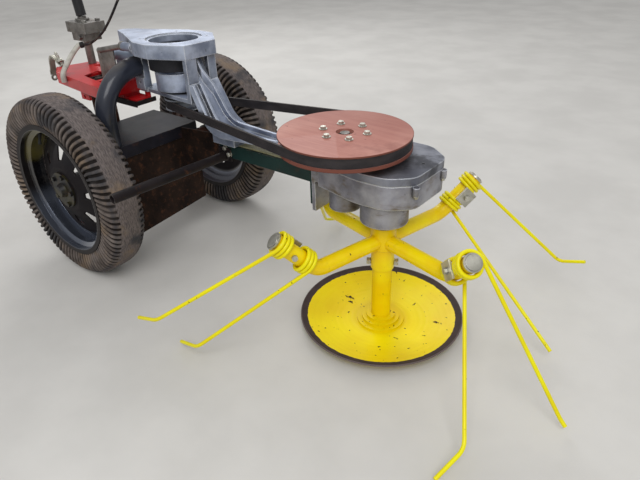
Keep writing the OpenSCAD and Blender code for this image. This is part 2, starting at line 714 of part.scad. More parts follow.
// Cable from the right-hand lever, in one loop ahead of the column, to the hose
cable_route = [[-grip_back + 148.2, -grip_half_w, grip_z - 25], [-1600, -292, grip_z - 48],
    [-1500, -262, grip_z - 55], [-1400, -170, grip_z - 50], [-1200, -60, grip_z - 25],
    [-1030, 10, grip_z - 50], [-960, 10, 880],
    [-1010, -4, 800], [-1100, -10, 715], [-1163, -28, 672], [-1179.8, -51.7, 668.1]];
module cable() color(black) placed() sweep(spline(cable_route, 4), 4, 8);

// Belt drive

// Straight sides touch both rounds: where they leave follows from the two radii
arc_steps = 40;
function arc_at(c, r, from, to) = let (k = (to - from) / arc_steps)
    [for (i = [0 : arc_steps]) c + r * [cos(from + k * i), sin(from + k * i)]];
function loop(r1, r2) = let (v = [engine_back - pulley_back, engine_side], h = atan2(v[1], v[0]),
        a = acos((r2 - r1) / norm(v)))
    concat(arc_at([pulley_x, 0], r1, h - a, h + a), arc_at([engine_x, engine_y], r2, h + a, h + 360 - a));
// The facets of the inner face stand clear of the rounds
clear = fit + core_r * (1 - cos(90 / arc_steps)) * 1.5;
module belt() color([0.20, 0.20, 0.21]) placed() translate([0, 0, belt_z])
    linear_extrude(belt_h) difference() {
        polygon(loop(core_r + clear + belt_t, small_r + clear + belt_t));
        polygon(loop(core_r + clear, small_r + clear));
    }

small_cheek_r = small_r + belt_t + 2;
module drive_pulley() color(alloy) placed() translate([engine_x, engine_y, 0]) difference() {
    union() {
        translate([0, 0, belt_z - 4 - fit]) cylinder(r = small_cheek_r, h = 4);
        translate([0, 0, belt_z - fit - eps]) cylinder(r = small_r, h = belt_h + 2 * fit + 2 * eps);
        translate([0, 0, belt_z + belt_h + fit]) cylinder(r = small_cheek_r, h = 4);
    }
    translate([0, 0, belt_z - 5]) cylinder(d = drive_shaft_d, h = belt_h + 20);
}
drum_z = shelf_z + 5;
module clutch_drum() color(alloy) placed() translate([engine_x, engine_y, 0]) {
    difference() {
        translate([0, 0, drum_z]) cylinder(d = drum_d, h = drum_h);
        translate([0, 0, drum_z + 8]) cylinder(d = drum_d - 14, h = drum_h);
    }
    translate([0, 0, drum_z + 8 - eps]) cylinder(d = 52, h = 22);
    translate([0, 0, belt_z - 12]) cylinder(d = drive_shaft_d, h = drum_z + 44 - belt_z + 12);
}

// Wooden pulley: two cheeks and a core, six bolts and a square-ended shaft
pulley_shaft_d = 25;
bolt_ring_r = 60;
module wood_pulley() color(wood) placed() translate([pulley_x, 0, 0]) difference() {
    union() {
        translate([0, 0, lower_cheek_z]) cylinder(r = pulley_r, h = lower_cheek_t);
        translate([0, 0, lower_cheek_z + lower_cheek_t - eps])
            cylinder(r = core_r, h = belt_h + 2 * fit + 2 * eps);
        translate([0, 0, pulley_z - cheek_t]) cylinder(r = pulley_r, h = cheek_t);
    }
    translate([0, 0, lower_cheek_z - 1]) cylinder(d = 46, h = 60);
}
module pulley_bolts() color(zinc) placed() translate([pulley_x, 0, 0])
    for (a = [15 : 60 : 315]) rotate([0, 0, a]) translate([bolt_ring_r, 0, pulley_z]) {
        cylinder(r = 11, h = 2);
        translate([0, 0, 2 - eps]) cylinder(r = 8, h = 6, $fn = 6);
    }
module pulley_shaft() color(steel) placed() translate([pulley_x, 0, 0]) {
    translate([0, 0, case_z + 4]) cylinder(d = pulley_shaft_d, h = pulley_z - 6 - case_z);
    translate([0, 0, web_z + 4]) cylinder(d = 46 - 2 * fit, h = pulley_z - 10 - web_z - 4);
    translate([0, 0, deck_z + 2]) cylinder(d = 52, h = lower_cheek_z - deck_z - 2);
}

// Rotor

// Tube of one arm: straight, bent and straight again, drilled for the clamp bolt
clamp_at = (inner_coil + outer_coil) / 2;
clamp_bolt_d = 8;
module along_end() {
    // Frame at the arm's end: Z along the end, X down, Y across
    multmatrix([[end_down[0], end_across[0], end_axis[0], end_start[0]],
        [end_down[1], end_across[1], end_axis[1], end_start[1]],
        [end_down[2], end_across[2], end_axis[2], end_start[2]], [0, 0, 0, 1]]) children();
}
arm_root = 24;
module arm_tube() {
    translate([0, 0, arm_z]) rotate([bend_roll, 0, 0]) {
        translate([arm_root, 0, 0]) rotate([0, 90, 0])
            cylinder(d = arm_d, h = arm_reach - bend_cut - arm_root + seam);
        translate([arm_reach - bend_cut, 0, arm_bend_r]) {
            rotate([90, 0, 0]) rotate([0, 0, -90]) rotate_extrude(angle = bend_angle)
                translate([arm_bend_r, 0]) circle(d = arm_d - seam);
            rotate([0, -bend_angle, 0]) translate([-seam, 0, -arm_bend_r]) rotate([0, 90, 0])
                cylinder(d = arm_d, h = end_length + seam);
        }
    }
}
module rotor_hub() color(yellow) placed() difference() {
    union() {
        translate([0, 0, hub_bottom - 1]) cylinder(d = hub_d, h = hub_top - hub_bottom + 1);
        for (a = arm_angles) rotate([0, 0, a]) arm_tube();
    }
    translate([0, 0, hub_bottom - 2]) cylinder(d = post_d + 2 * fit, h = hub_top - hub_bottom - 6);
    for (a = arm_angles) rotate([0, 0, a]) along_end() translate([0, 60, clamp_at])
        rotate([90, 0, 0]) cylinder(d = clamp_bolt_d + 2 * fit, h = 120);
}
shaft_up = case_top - main_boss_z - 12;
module rotor_shaft() color(steel) placed() translate([0, 0, hub_top])
    cylinder(d = shaft_d, h = shaft_up + main_boss_gap - 4);
collar_h = 26;
post_bottom = dish_t + 8;
module rotor_post() color(yellow) placed() translate([0, 0, post_bottom])
    cylinder(d = post_d, h = hub_top - 9 - post_bottom);
sleeve_d = 64;
module post_sleeve() color(yellow) placed() translate([0, 0, sleeve_z]) difference() {
    cylinder(d = sleeve_d, h = hub_bottom - 1 - sleeve_z);
    translate([0, 0, -1]) cylinder(d = post_d + 2 * fit, h = 200);
}
// Clamp plates with their bolts, and the sleeve's two bolts
plate_off = (coil_r * cos(22)) + wire_d / 2 + fit;
module rotor_fasteners() color(zinc) placed() {
    for (a = arm_angles) rotate([0, 0, a]) along_end() translate([0, 0, clamp_at]) {
        translate([-clamp_w / 2, -plate_off - 5, -clamp_w / 2]) cube([clamp_w, 5, clamp_w]);
        translate([0, -plate_off - 5 - 8, 0]) rotate([-90, 0, 0]) cylinder(r = 8, h = 8 + eps, $fn = 6);
        rotate([90, 0, 0]) translate([0, 0, -arm_d / 2 - 8]) cylinder(d = clamp_bolt_d,
            h = arm_d / 2 + 8 + plate_off + 1);
        translate([0, arm_d / 2 + fit, 0]) rotate([-90, 0, 0]) cylinder(r = 8, h = 7, $fn = 6);
    }
    for (s = [0, 180]) rotate([0, 0, camera_side + s]) translate([sleeve_d / 2 + fit, 0, sleeve_z + 15])
        rotate([0, 90, 0]) cylinder(r = 10.5, h = 11, $fn = 6);
}
camera_side = 30;

// One double tine: leg, coil, bridge, coil and leg as one wire
coil_steps = 12;
function coil_point(turn, at) = [coil_r * cos(turn), coil_r * sin(turn), at];
function to_part(p) = end_start + end_down * p[0] + end_across * p[1] + end_axis * p[2];
function coil_path(s, from, to) = let (a = 180 - s[2], b = bridge_turn + 360 * whole_turns,
        n = ceil((b - a) / 360 * coil_steps))
    [for (i = [0 : n]) to_part(coil_point(blend(a, b, i / n), blend(from, to, i / n)))];
function reversed(p) = [for (i = [len(p) - 1 : -1 : 0]) p[i]];
function leg_path(s) = [tip(s), blend(knee(s), tip(s), 0.08), blend(knee(s), leg_start(s), 0.02),
    blend(leg_start(s), knee(s), 0.04)];
function double_tine(i) = let (a = tine_set[2 * i], b = tine_set[2 * i + 1],
        h = coil_length / 2)
    concat(leg_path(a), coil_path(a, inner_coil - h, inner_coil + h),
        reversed(coil_path(b, outer_coil + h, outer_coil - h)), reversed(leg_path(b)));
module tines() color(yellow) placed()
    for (i = [0 : 3]) rotate([0, 0, arm_angles[i]]) sweep(double_tine(i), wire_d / 2, 6);

module arm_caps() color(zinc) placed()
    for (a = arm_angles) rotate([0, 0, a]) along_end() translate([0, 0, end_length]) {
        cylinder(d = arm_d + 3, h = 5);
        translate([0, 0, 5 - eps]) cylinder(d = arm_d - 6, h = 3);
    }

// Skid dish: a shallow bowl with a stepped collar round the post
bowl_steps = 8;
bowl_run = dish_r - dish_flat_r;
bowl_curve = (bowl_run * bowl_run + dish_h * dish_h) / (2 * dish_h);
function bowl(k) = [for (i = [0 : bowl_steps])
    let (a = asin(bowl_run / bowl_curve) * i / bowl_steps)
    [dish_flat_r + (bowl_curve - k) * sin(a), bowl_curve - (bowl_curve - k) * cos(a)]];
module skid_dish() color(yellow) placed() {
    rotate_extrude($fn = 96) polygon(concat([[0, 0]], bowl(0), reversed(bowl(dish_t)),
        [[0, dish_t]]));
    // Steps of the collar, columns: radius, height
    difference() {
        for (s = [[68, 10], [54, 18], [42, collar_h]]) cylinder(r = s[0], h = s[1]);
        translate([0, 0, post_bottom - 1]) cylinder(d = post_d + 2 * run, h = 60);
    }
}

// Wheels

// Half section of the tyre, from the bead to the crown, columns: half width, radius, lug share
tyre_half = [[50, 205, 0], [tyre_half_w, 250, 0.7], [55, 279, 1], [24, tyre_r, 0]];
tyre_section = concat(tyre_half, [for (i = [len(tyre_half) - 1 : -1 : 0])
    [-tyre_half[i][0], tyre_half[i][1], tyre_half[i][2]]]);
function ring_point(q, a, low) = let (r = q[1] - low * q[2] * lug_depth,
        w = q[0] - sign(q[0]) * low * q[2] * lug_depth / 2)
    [r * cos(a), w, r * sin(a)];
module tyre_ring() {
    m = len(tyre_section);
    n = 2 * lug_count;
    polyhedron(convexity = 10, points = [for (i = [0 : n - 1]) for (q = tyre_section)
        ring_point(q, -90 + 360 * i / n, i % 2)],
        faces = [for (i = [0 : n - 1]) for (k = [0 : m - 1])
            let (a = i * m, b = ((i + 1) % n) * m, l = (k + 1) % m)
            [a + k, a + l, b + l, b + k]]);
}
module tyre(side) color(rubber) placed() translate([axle_x, side * half_track, tyre_r]) tyre_ring();

// Half profile of the rim, columns: radius, half width
rim_t = 3;
rim_profile = [[rim_r, rim_half_w], [rim_r, rim_half_w - rim_t], [204, 54 - fit], [204, 34],
    [190, 27], [190, -27], [204, -34], [204, -54 + fit], [rim_r, -rim_half_w + rim_t],
    [rim_r, -rim_half_w], [201, -rim_half_w + 1], [201, -36], [187, -29], [187, 29], [201, 36],
    [201, rim_half_w - 1]];
disc_w = rim_half_w - disc_depth;
disc_t = 5;
disc_top = disc_w + disc_rise + disc_t;
disc_hole_r = wheel_hub_d / 2 + fit;
window_count = 8;
module rim(side) color(black) placed() translate([axle_x, side * half_track, tyre_r])
    rotate([-90 * side, 0, 0]) {
        difference() {
            union() {
                rotate_extrude($fn = 96) polygon(rim_profile);
                rotate_extrude($fn = 96) polygon([[disc_hole_r, disc_top - disc_t], [72, disc_top - disc_t],
                    [188, disc_w], [188, disc_w + disc_t], [74, disc_top], [disc_hole_r, disc_top]]);
            }
            for (i = [0 : window_count - 1]) rotate([0, 0, 360 * i / window_count])
                translate([0, 0, disc_w]) linear_extrude(disc_rise)
                    polygon([[96, -9], [96, 9], [132, 19], [139, 12], [139, -12], [132, -19]]);
        }
    }
module hub(side) color([0.42, 0.36, 0.14]) placed() translate([axle_x, side * half_track, tyre_r])
    rotate([-90 * side, 0, 0]) difference() {
        union() {
            translate([0, 0, -62]) cylinder(d = wheel_hub_d, h = 62 + disc_top + 1);
            translate([0, 0, disc_top + fit]) cylinder(d = 116, h = 6);
            for (a = [0 : 72 : 288]) rotate([0, 0, a]) translate([48, 0, disc_top + 6])
                cylinder(r = 8, h = 7, $fn = 6);
            translate([0, 0, disc_top + 5]) cylinder(d1 = 50, d2 = 36, h = 16);
        }
        translate([0, 0, -63]) cylinder(d = axle_d + 2 * run, h = 63 + axle_out + 1);
    }

engine_plate();
bell_frame();
swept_arm();
gear_case();
case_cover();
beam();
beam_strip();
cross_bar();
platform();
apron();
tie_plate();
support_pipe();
axle_case();
axle();
red_frame();
rear_angle();
sprocket();
coupling_tube();
column_post();
column_clamp();
handlebar();
grips();
hand_levers();
control_rod();
hose();
cable();
belt();
clutch_drum();
drive_pulley();
wood_pulley();
pulley_bolts();
pulley_shaft();
rotor_hub();
rotor_shaft();
rotor_post();
post_sleeve();
rotor_fasteners();
tines();
arm_caps();
skid_dish();
tyre(1);  // tyre_left
tyre(-1);  // tyre_right
rim(1);  // rim_left
rim(-1);  // rim_right
hub(1);  // hub_left
hub(-1);  // hub_right
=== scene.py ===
"""Looks of a walk-behind hay tedder: finishes, lugged tyres, spring tines and small fasteners."""
import math

import bmesh
import bpy
from mathutils import Matrix, Vector, noise


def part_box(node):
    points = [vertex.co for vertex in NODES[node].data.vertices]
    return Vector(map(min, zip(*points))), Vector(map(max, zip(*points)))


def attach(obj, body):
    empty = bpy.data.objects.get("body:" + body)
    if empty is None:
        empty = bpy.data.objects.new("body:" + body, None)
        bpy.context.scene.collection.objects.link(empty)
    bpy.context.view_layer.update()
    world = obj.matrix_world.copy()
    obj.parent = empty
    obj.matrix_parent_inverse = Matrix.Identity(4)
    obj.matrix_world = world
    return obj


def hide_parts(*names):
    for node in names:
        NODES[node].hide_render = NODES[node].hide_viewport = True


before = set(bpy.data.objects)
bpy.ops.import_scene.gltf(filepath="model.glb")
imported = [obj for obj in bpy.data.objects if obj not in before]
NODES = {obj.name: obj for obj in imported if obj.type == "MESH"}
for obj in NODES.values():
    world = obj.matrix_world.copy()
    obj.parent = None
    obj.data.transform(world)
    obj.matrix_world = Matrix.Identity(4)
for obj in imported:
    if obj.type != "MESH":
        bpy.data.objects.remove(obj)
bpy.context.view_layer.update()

UP = Vector((0, 0, 1))
FORWARD = Vector((1, 0, 0))
LEFT = Vector((0, 1, 0))
SIDES = {"left": 1, "right": -1}


def middle(node):
    """The middle of a CAD node's box"""
    low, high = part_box(node)
    return (low + high) / 2


# Axes that the pieces are set round, in metres
ROTOR = middle("rotor_post").xy.to_3d()
PULLEY = middle("wood_pulley").xy.to_3d()
ENGINE = middle("drive_pulley").xy.to_3d()


def mm(*values):
    """Millimetres to metres, as a vector"""
    return Vector([v / 1000 for v in values])


def at(x, y, z):
    """A place given as in the CAD source, in millimetres from the rotor's axis"""
    return ROTOR + mm(x, y, z)


def unit(value):
    """A value kept between 0 and 1"""
    return max(0.0, min(1.0, value))


def show(made):
    """Put an object into the scene"""
    bpy.context.scene.collection.objects.link(made)
    return made


# Camera, as fitted to the photograph: place in metres, angles in radians

CAMERA_FROM_ROTOR = Vector((0.6543, -1.1011, 1.0340))
CAMERA_TURN = 0.6697
CAMERA_DIP = 0.5386
CAMERA_ROLL = -0.0323
FOCAL_MM = 30.874
SENSOR_MM = 36.0
CLIP_NEAR = 0.05
CLIP_FAR = 60


def make_camera():
    """The photograph's own view"""
    back = Vector((math.sin(CAMERA_TURN) * math.cos(CAMERA_DIP),
                   -math.cos(CAMERA_TURN) * math.cos(CAMERA_DIP), math.sin(CAMERA_DIP)))
    level = Vector((math.cos(CAMERA_TURN), math.sin(CAMERA_TURN), 0))
    over = level.cross(-back)
    right = level * math.cos(CAMERA_ROLL) + over * math.sin(CAMERA_ROLL)
    up = over * math.cos(CAMERA_ROLL) - level * math.sin(CAMERA_ROLL)
    data = bpy.data.cameras.new("camera")
    data.sensor_width = SENSOR_MM
    data.lens = FOCAL_MM
    data.clip_start = CLIP_NEAR
    data.clip_end = CLIP_FAR
    camera = show(bpy.data.objects.new("camera", data))
    turn = Matrix((right, up, back)).transposed().to_4x4()
    camera.matrix_world = Matrix.Translation(ROTOR + CAMERA_FROM_ROTOR) @ turn
    bpy.context.scene.camera = camera


make_camera()


# Finishes

SHADER_SAMPLES = 4
# How far the rounded normal turns from the flat one where an edge counts as full
EDGE_FULL = 0.10
# Open sky, as a share, where a corner begins and where it is full
CREVICE_OPEN = 0.95
CREVICE_FULL = 0.35


def colour(red, green, blue):
    """A colour given as on a screen, from 0 to 255"""
    def linear(v):
        v /= 255
        return v / 12.92 if v <= 0.04045 else ((v + 0.055) / 1.055) ** 2.4
    return (linear(red), linear(green), linear(blue), 1.0)


# Tones of wear and dirt, and of painted shade and highlight
EDGE_WEAR_AND_HIGHLIGHT = colour(232, 236, 242)
POLISHED_EDGE = colour(232, 232, 228)
WORN_EDGE = colour(128, 118, 108)
DRY_DUST = colour(150, 142, 132)
OIL_SMEAR = colour(112, 96, 70)
DECK_DARK_TONE = colour(48, 48, 54)
CASTING_CORNER_SHADE = colour(62, 57, 52)
CASTING_SPOT = colour(70, 68, 66)
METAL_STAIN = colour(96, 78, 62)
METAL_CORNER_SHADE = colour(48, 42, 38)
RUST_DARK = colour(88, 52, 34)
RUST_PALE = colour(120, 76, 48)


class Finish:
    """One procedural material, with a short call for each kind of node"""

    def __init__(self, name, roughness, metallic=0.0, coat=0.0, specular=0.3):
        self.material = bpy.data.materials.new(name)
        self.material.use_nodes = True
        self.tree = self.material.node_tree
        self.shader = self.tree.nodes["Principled BSDF"]
        self.shader.inputs["Roughness"].default_value = roughness
        self.shader.inputs["Metallic"].default_value = metallic
        self.shader.inputs["Coat Weight"].default_value = coat
        self.shader.inputs["Specular IOR Level"].default_value = specular
        self.place = self.node("ShaderNodeTexCoord").outputs["Object"]
        self.normal = None

    def node(self, kind, inputs=None, **settings):
        """A shader node; an input is a value or another node's output"""
        made = self.tree.nodes.new(kind)
        for key, value in settings.items():
            setattr(made, key, value)
        for key, value in (inputs or {}).items():
            if isinstance(value, bpy.types.NodeSocket):
                self.tree.links.new(value, made.inputs[key])
            else:
                made.inputs[key].default_value = value
        return made

    def moved(self, stretch, shift):
        """The object's own place, stretched and shifted"""
        return self.node("ShaderNodeMapping", {
            "Vector": self.place, "Scale": stretch,
            "Location": (shift, shift, shift)}).outputs["Vector"]

    def noise(self, scale, detail=3.0, rough=0.55, stretch=(1, 1, 1), shift=0.0):
        """A noise on the object's own place; another shift gives another pattern"""
        return self.node("ShaderNodeTexNoise", {
            "Vector": self.moved(stretch, shift), "Scale": scale, "Detail": detail,
            "Roughness": rough}).outputs["Fac"]

    def stripes(self, scale, distortion):
        """Level bands, one above the other"""
        return self.node("ShaderNodeTexWave", {
            "Vector": self.place, "Scale": scale, "Distortion": distortion},
            bands_direction="Z").outputs["Fac"]

    def mark(self, name):
        """A value that the mesh itself carries"""
        return self.node("ShaderNodeAttribute", attribute_name=name).outputs["Fac"]

    def span(self, value, low, high, to_low=0.0, to_high=1.0):
        """A smooth step from to_low to to_high while a value goes from low to high"""
        return self.node("ShaderNodeMapRange", {
            "Value": value, "From Min": low, "From Max": high, "To Min": to_low,
            "To Max": to_high}, interpolation_type="SMOOTHSTEP").outputs["Result"]

    def math(self, operation, a, b=0.0):
        """One step on two numbers"""
        return self.node("ShaderNodeMath", {0: a, 1: b}, operation=operation).outputs[0]

    def times(self, a, b):
        """The product of two numbers"""
        return self.math("MULTIPLY", a, b)

    def most(self, a, b):
        """The greater of two numbers"""
        return self.math("MAXIMUM", a, b)

    def vector(self, operation, a, b=(0, 0, 0)):
        """Both results of a step on vectors: 0 is a vector and "Value" a number"""
        return self.node("ShaderNodeVectorMath", {0: a, 1: b}, operation=operation).outputs

    def mix(self, share, a, b):
        """Colour a at share 0 and colour b at share 1"""
        return self.node("ShaderNodeMix", {0: share, 6: a, 7: b}, data_type="RGBA").outputs[2]

    def tones(self, value, low, high, a, b):
        """From tone a to tone b while a value goes from low to high"""
        return self.mix(self.span(value, low, high), a, b)

    def patches(self, base, tone, value, low, high, most=1.0):
        """A tone laid over the base, by up to most, while a value goes from low to high"""
        return self.mix(self.span(value, low, high, 0.0, most), base, tone)

    def ragged(self, value, noise, low, high):
        """A value made uneven: a noise adds between low and high to it"""
        return self.math("ADD", value, self.span(noise, 0.2, 0.8, low, high))

    def axis(self, index, vector=None):
        """One number of a vector, or of the place"""
        source = self.place if vector is None else vector
        return self.node("ShaderNodeSeparateXYZ", {0: source}).outputs[index]

    def reach(self, centre, axes):
        """Distance from a centre, with each axis scaled first; 0 leaves an axis out"""
        away = self.vector("SUBTRACT", self.place, centre)[0]
        return self.vector("LENGTH", self.vector("MULTIPLY", away, axes)[0])["Value"]

    def edge(self, radius):
        """1 on sharp edges and 0 on flats; also rounds the edges' shading"""
        soft = self.node("ShaderNodeBevel", {"Radius": radius}, samples=SHADER_SAMPLES).outputs[0]
        flat = self.node("ShaderNodeNewGeometry").outputs["Normal"]
        self.normal = soft
        same = self.vector("DOT_PRODUCT", soft, flat)["Value"]
        return self.span(same, 1 - EDGE_FULL, 1.0, 1.0, 0.0)

    def crevice(self, distance):
        """1 in corners and 0 in the open; the mask of painted shade in corners"""
        open_share = self.node("ShaderNodeAmbientOcclusion", {"Distance": distance},
                               samples=SHADER_SAMPLES).outputs["AO"]
        return self.span(open_share, CREVICE_FULL, CREVICE_OPEN, 1.0, 0.0)

    def bump(self, height, depth, strength):
        """Fine relief on top of what the normal has so far"""
        inputs = {"Height": height, "Distance": depth, "Strength": strength}
        if self.normal is not None:
            inputs["Normal"] = self.normal
        self.normal = self.node("ShaderNodeBump", inputs).outputs[0]

    def drive(self, value, name):
        """Feed one of the shader's inputs"""
        self.tree.links.new(value, self.shader.inputs[name])

    def done(self, base, roughness=None, metallic=None):
        """Feed the shader and hand over the material"""
        for value, name in ((base, "Base Color"), (roughness, "Roughness"),
                            (metallic, "Metallic"), (self.normal, "Normal")):
            if value is not None:
                self.drive(value, name)
        return self.material


def cast_alloy(name, tone, oil, extra=None, warm=0):
    """Sand-cast aluminium: dull, mottled, oil-smeared, painted shade in corners, painted
    highlight on worn edges

    A higher tone is paler, more warmth is less blue, and extra adds what one piece has alone.
    """
    f = Finish(name, 0.5, metallic=0.6, specular=0.5)
    edge = f.edge(0.004)
    mottle = f.noise(9, 5, 0.6)
    dull = colour((112 + warm) * tone, 120 * tone, (138 - warm) * tone)
    pale = colour((172 + warm) * tone, 180 * tone, (196 - warm) * tone)
    base = f.tones(mottle, 0.35, 0.68, dull, pale)
    base = f.patches(base, OIL_SMEAR, f.noise(11, 5, 0.6, (1, 1, 2.2), 3.0), 0.50, 0.72, oil)
    # Painted shade in the corners, made uneven by a noise
    corner_shade = f.times(f.crevice(0.035), f.span(f.noise(30, 3, shift=5), 0.3, 0.6, 0.35, 0.9))
    base = f.mix(corner_shade, base, CASTING_CORNER_SHADE)
    base = f.patches(base, CASTING_SPOT, f.noise(60, 2, shift=9), 0.70, 0.78, 0.55)
    # Worn edges, lightened further by a painted highlight
    base = f.mix(f.times(edge, 0.9), base, EDGE_WEAR_AND_HIGHLIGHT)
    if extra is not None:
        base = extra(f, base)
    f.bump(f.noise(420, 3, 0.7), 0.0006, 0.5)
    f.bump(f.noise(38, 3), 0.0015, 0.35)
    return f.done(base, f.span(mottle, 0.3, 0.7, 0.40, 0.60))


# The collar's zone, where it begins and where it is full: radius and height
COLLAR_R = (0.098, 0.094)
COLLAR_Z = (0.706, 0.700)


def black_collar(f, base):
    """The collar under the engine plate is black with old grease"""
    near = f.span(f.reach(ENGINE, (1, 1, 0)), *COLLAR_R)
    below = f.span(f.axis(2), *COLLAR_Z)
    grease = f.mix(f.noise(30, 4), colour(30, 30, 34), colour(58, 58, 64))
    return f.mix(f.times(near, below), base, grease)


DECK_PATCH_CENTRE = at(72, 60, 487)


def dark_deck_patch(f, base):
    """A dark, ragged patch on the deck round one spot"""
    away = f.ragged(f.reach(DECK_PATCH_CENTRE, (1, 1, 0)), f.noise(26, 5, 0.65, shift=3), -0.05, 0.05)
    return f.patches(base, DECK_DARK_TONE, away, 0.075, 0.01, 0.75)


def yellow_paint(name, low, high, grime_and_shade_share, chips):
    """Thick brushed-on yellow with chips down to dark steel"""
    f = Finish(name, 0.36, coat=0.05)
    edge = f.edge(0.002)
    base = f.tones(f.noise(9, 3), 0.3, 0.7, low, high)
    # Painted shade in the corners: a deeper, oranger yellow
    base = f.mix(f.times(f.crevice(0.05), grime_and_shade_share), base, colour(204, 146, 6))
    grime = f.noise(26, 5, 0.65, shift=2)
    base = f.patches(base, colour(120, 92, 30), grime, 0.60, 0.76, 0.35 * grime_and_shade_share)
    worn = f.times(edge, f.span(f.noise(45, 4, shift=4), 0.56, 0.64, 0.0, chips))
    bare = f.most(worn, f.span(f.noise(75, 2, 0.5, shift=7), 0.725, 0.745))
    base = f.mix(bare, base, colour(58, 42, 32))
    f.bump(f.noise(70, 2), 0.0008, 0.18)
    f.bump(f.math("SUBTRACT", 1.0, bare), 0.0004, 0.6)
    return f.done(base, f.span(bare, 0, 1, 0.33, 0.75))


# Scratches through the dish's paint, columns: place in mm, half length and half width in m
DISH_SCRATCHES = [(-126, 25, 0.017, 0.010), (-112, 8, 0.010, 0.005), (151, 63, 0.016, 0.007),
                  (-96, -172, 0.010, 0.004), (70, -115, 0.008, 0.004), (-60, 120, 0.008, 0.004)]
# The dish's zones, where each begins and where it is full, in metres
DISH_MIDDLE_R = (0.10, 0.06)
DISH_BRIM_R = (0.2125, 0.2135)
DISH_LIP_R = (0.2290, 0.2310)
DISH_SOLE_Z = (0.0015, 0.0)
TURNING_MARKS = 420.0


def dish_scratches(f):
    """1 where the dish's paint is scratched off or pitted"""
    bare = f.span(f.noise(85, 2, 0.5, shift=3), 0.70, 0.72)
    for x, y, length, width in DISH_SCRATCHES:
        away = f.reach(at(x, y, 0), (1 / length, 1 / width, 0))
        torn = f.ragged(away, f.noise(110, 4, 0.6, shift=x), -0.7, 0.9)
        bare = f.most(bare, f.span(torn, 0.72, 0.62))
    return bare


def dish_paint():
    """Yellow inside the brim, scuffed bare spots, and a dark unpainted brim"""
    f = Finish("dish_yellow", 0.5, specular=0.2)
    radius = f.reach(ROTOR, (1, 1, 0))
    base = f.tones(f.noise(5, 3), 0.3, 0.7, colour(246, 214, 0), colour(255, 234, 2))
    # Painted shade: darker towards the middle, round the post
    base = f.patches(base, colour(196, 160, 12), radius, *DISH_MIDDLE_R, 0.35)
    bare = dish_scratches(f)
    base = f.mix(bare, base, colour(60, 34, 22))
    uneven = f.ragged(radius, f.noise(60, 3, shift=6), -0.0012, 0.0012)
    brim = f.span(uneven, *DISH_BRIM_R)
    base = f.mix(brim, base, f.mix(f.noise(50, 4), colour(52, 42, 42), colour(78, 66, 66)))
    base = f.patches(base, colour(104, 92, 92), radius, *DISH_LIP_R)
    base = f.patches(base, colour(120, 112, 106), f.axis(2), *DISH_SOLE_Z)
    f.bump(f.math("SINE", f.times(radius, TURNING_MARKS)), 0.0004, 0.12)
    f.bump(f.noise(12, 3), 0.004, 0.25)
    return f.done(base, f.span(f.most(brim, bare), 0, 1, 0.32, 0.68))


def red_paint():
    """Gloss red under pale pink dust and painted sky reflection, painted shade in corners, worn
    along edges
    """
    f = Finish("red_gloss", 0.36, coat=0.3)
    edge = f.edge(0.003)
    base = f.tones(f.noise(8, 3), 0.3, 0.7, colour(196, 14, 22), colour(222, 34, 36))
    # Pale pink patches: dust, and a painted sky reflection
    dust = f.noise(20, 5, 0.65, shift=2)
    base = f.patches(base, colour(176, 96, 96), dust, 0.50, 0.75, 0.45)
    worn = f.times(edge, f.span(f.noise(60, 4), 0.52, 0.62))
    base = f.mix(worn, base, colour(70, 38, 32))
    # Painted shade in the corners
    base = f.mix(f.times(f.crevice(0.03), 0.6), base, colour(74, 18, 16))
    f.bump(f.noise(90, 2), 0.0006, 0.2)
    return f.done(base)


def dark_paint(name, low, high, roughness, rust=0.3, dust=0.3, coat=0.0, specular=0.3):
    """Old paint in a dark tone, with rust coming through and dust on top"""
    f = Finish(name, roughness, coat=coat, specular=specular)
    edge = f.edge(0.0025)
    base = f.tones(f.noise(9, 3), 0.3, 0.7, low, high)
    patch = f.span(f.noise(22, 6, 0.68, shift=1), 0.56, 0.70, 0.0, rust)
    base = f.mix(patch, base, f.mix(f.noise(80, 3), RUST_DARK, RUST_PALE))
    worn = f.times(edge, f.span(f.noise(48, 4, shift=2), 0.5, 0.62, 0.0, 0.8))
    base = f.mix(worn, base, WORN_EDGE)
    level = f.axis(2, f.node("ShaderNodeNewGeometry").outputs["Normal"])
    film = f.span(f.noise(14, 5, shift=8), 0.35, 0.7, 0.0, dust)
    base = f.mix(f.times(f.span(level, 0.5, 1.0), film), base, DRY_DUST)
    f.bump(f.noise(160, 4, 0.6), 0.0006, 0.35)
    return f.done(base, f.span(patch, 0, 1, roughness, min(1.0, roughness + 0.4)))


def rusty(name, low, high):
    """Bare sheet gone to rust, with painted shade in its corners"""
    f = Finish(name, 0.85, specular=0.15)
    base = f.tones(f.noise(10, 6, 0.65), 0.34, 0.66, low, high)
    base = f.patches(base, colour(98, 62, 42), f.noise(45, 5, 0.7, shift=3), 0.5, 0.72, 0.5)
    # Painted shade in the corners
    base = f.mix(f.times(f.crevice(0.06), 0.6), base, colour(34, 24, 20))
    f.bump(f.noise(130, 5, 0.7), 0.0012, 0.6)
    return f.done(base)


def metal(name, low, high, roughness, stain=0.3):
    """Bare or plated steel, stained in patches and polished on its edges"""
    f = Finish(name, roughness, metallic=0.85, specular=0.5)
    edge = f.edge(0.0015)
    base = f.tones(f.noise(24, 4), 0.3, 0.7, low, high)
    base = f.patches(base, METAL_STAIN, f.noise(40, 5, 0.65, shift=4), 0.52, 0.72, stain)
    base = f.mix(f.times(edge, 0.5), base, POLISHED_EDGE)
    # Painted shade in the corners
    base = f.mix(f.times(f.crevice(0.005), 0.6), base, METAL_CORNER_SHADE)
    f.bump(f.noise(300, 3), 0.0003, 0.4)
    uneven = f.noise(33, 3, shift=6)
    return f.done(base, f.span(uneven, 0.3, 0.7, roughness - 0.08, roughness + 0.12))


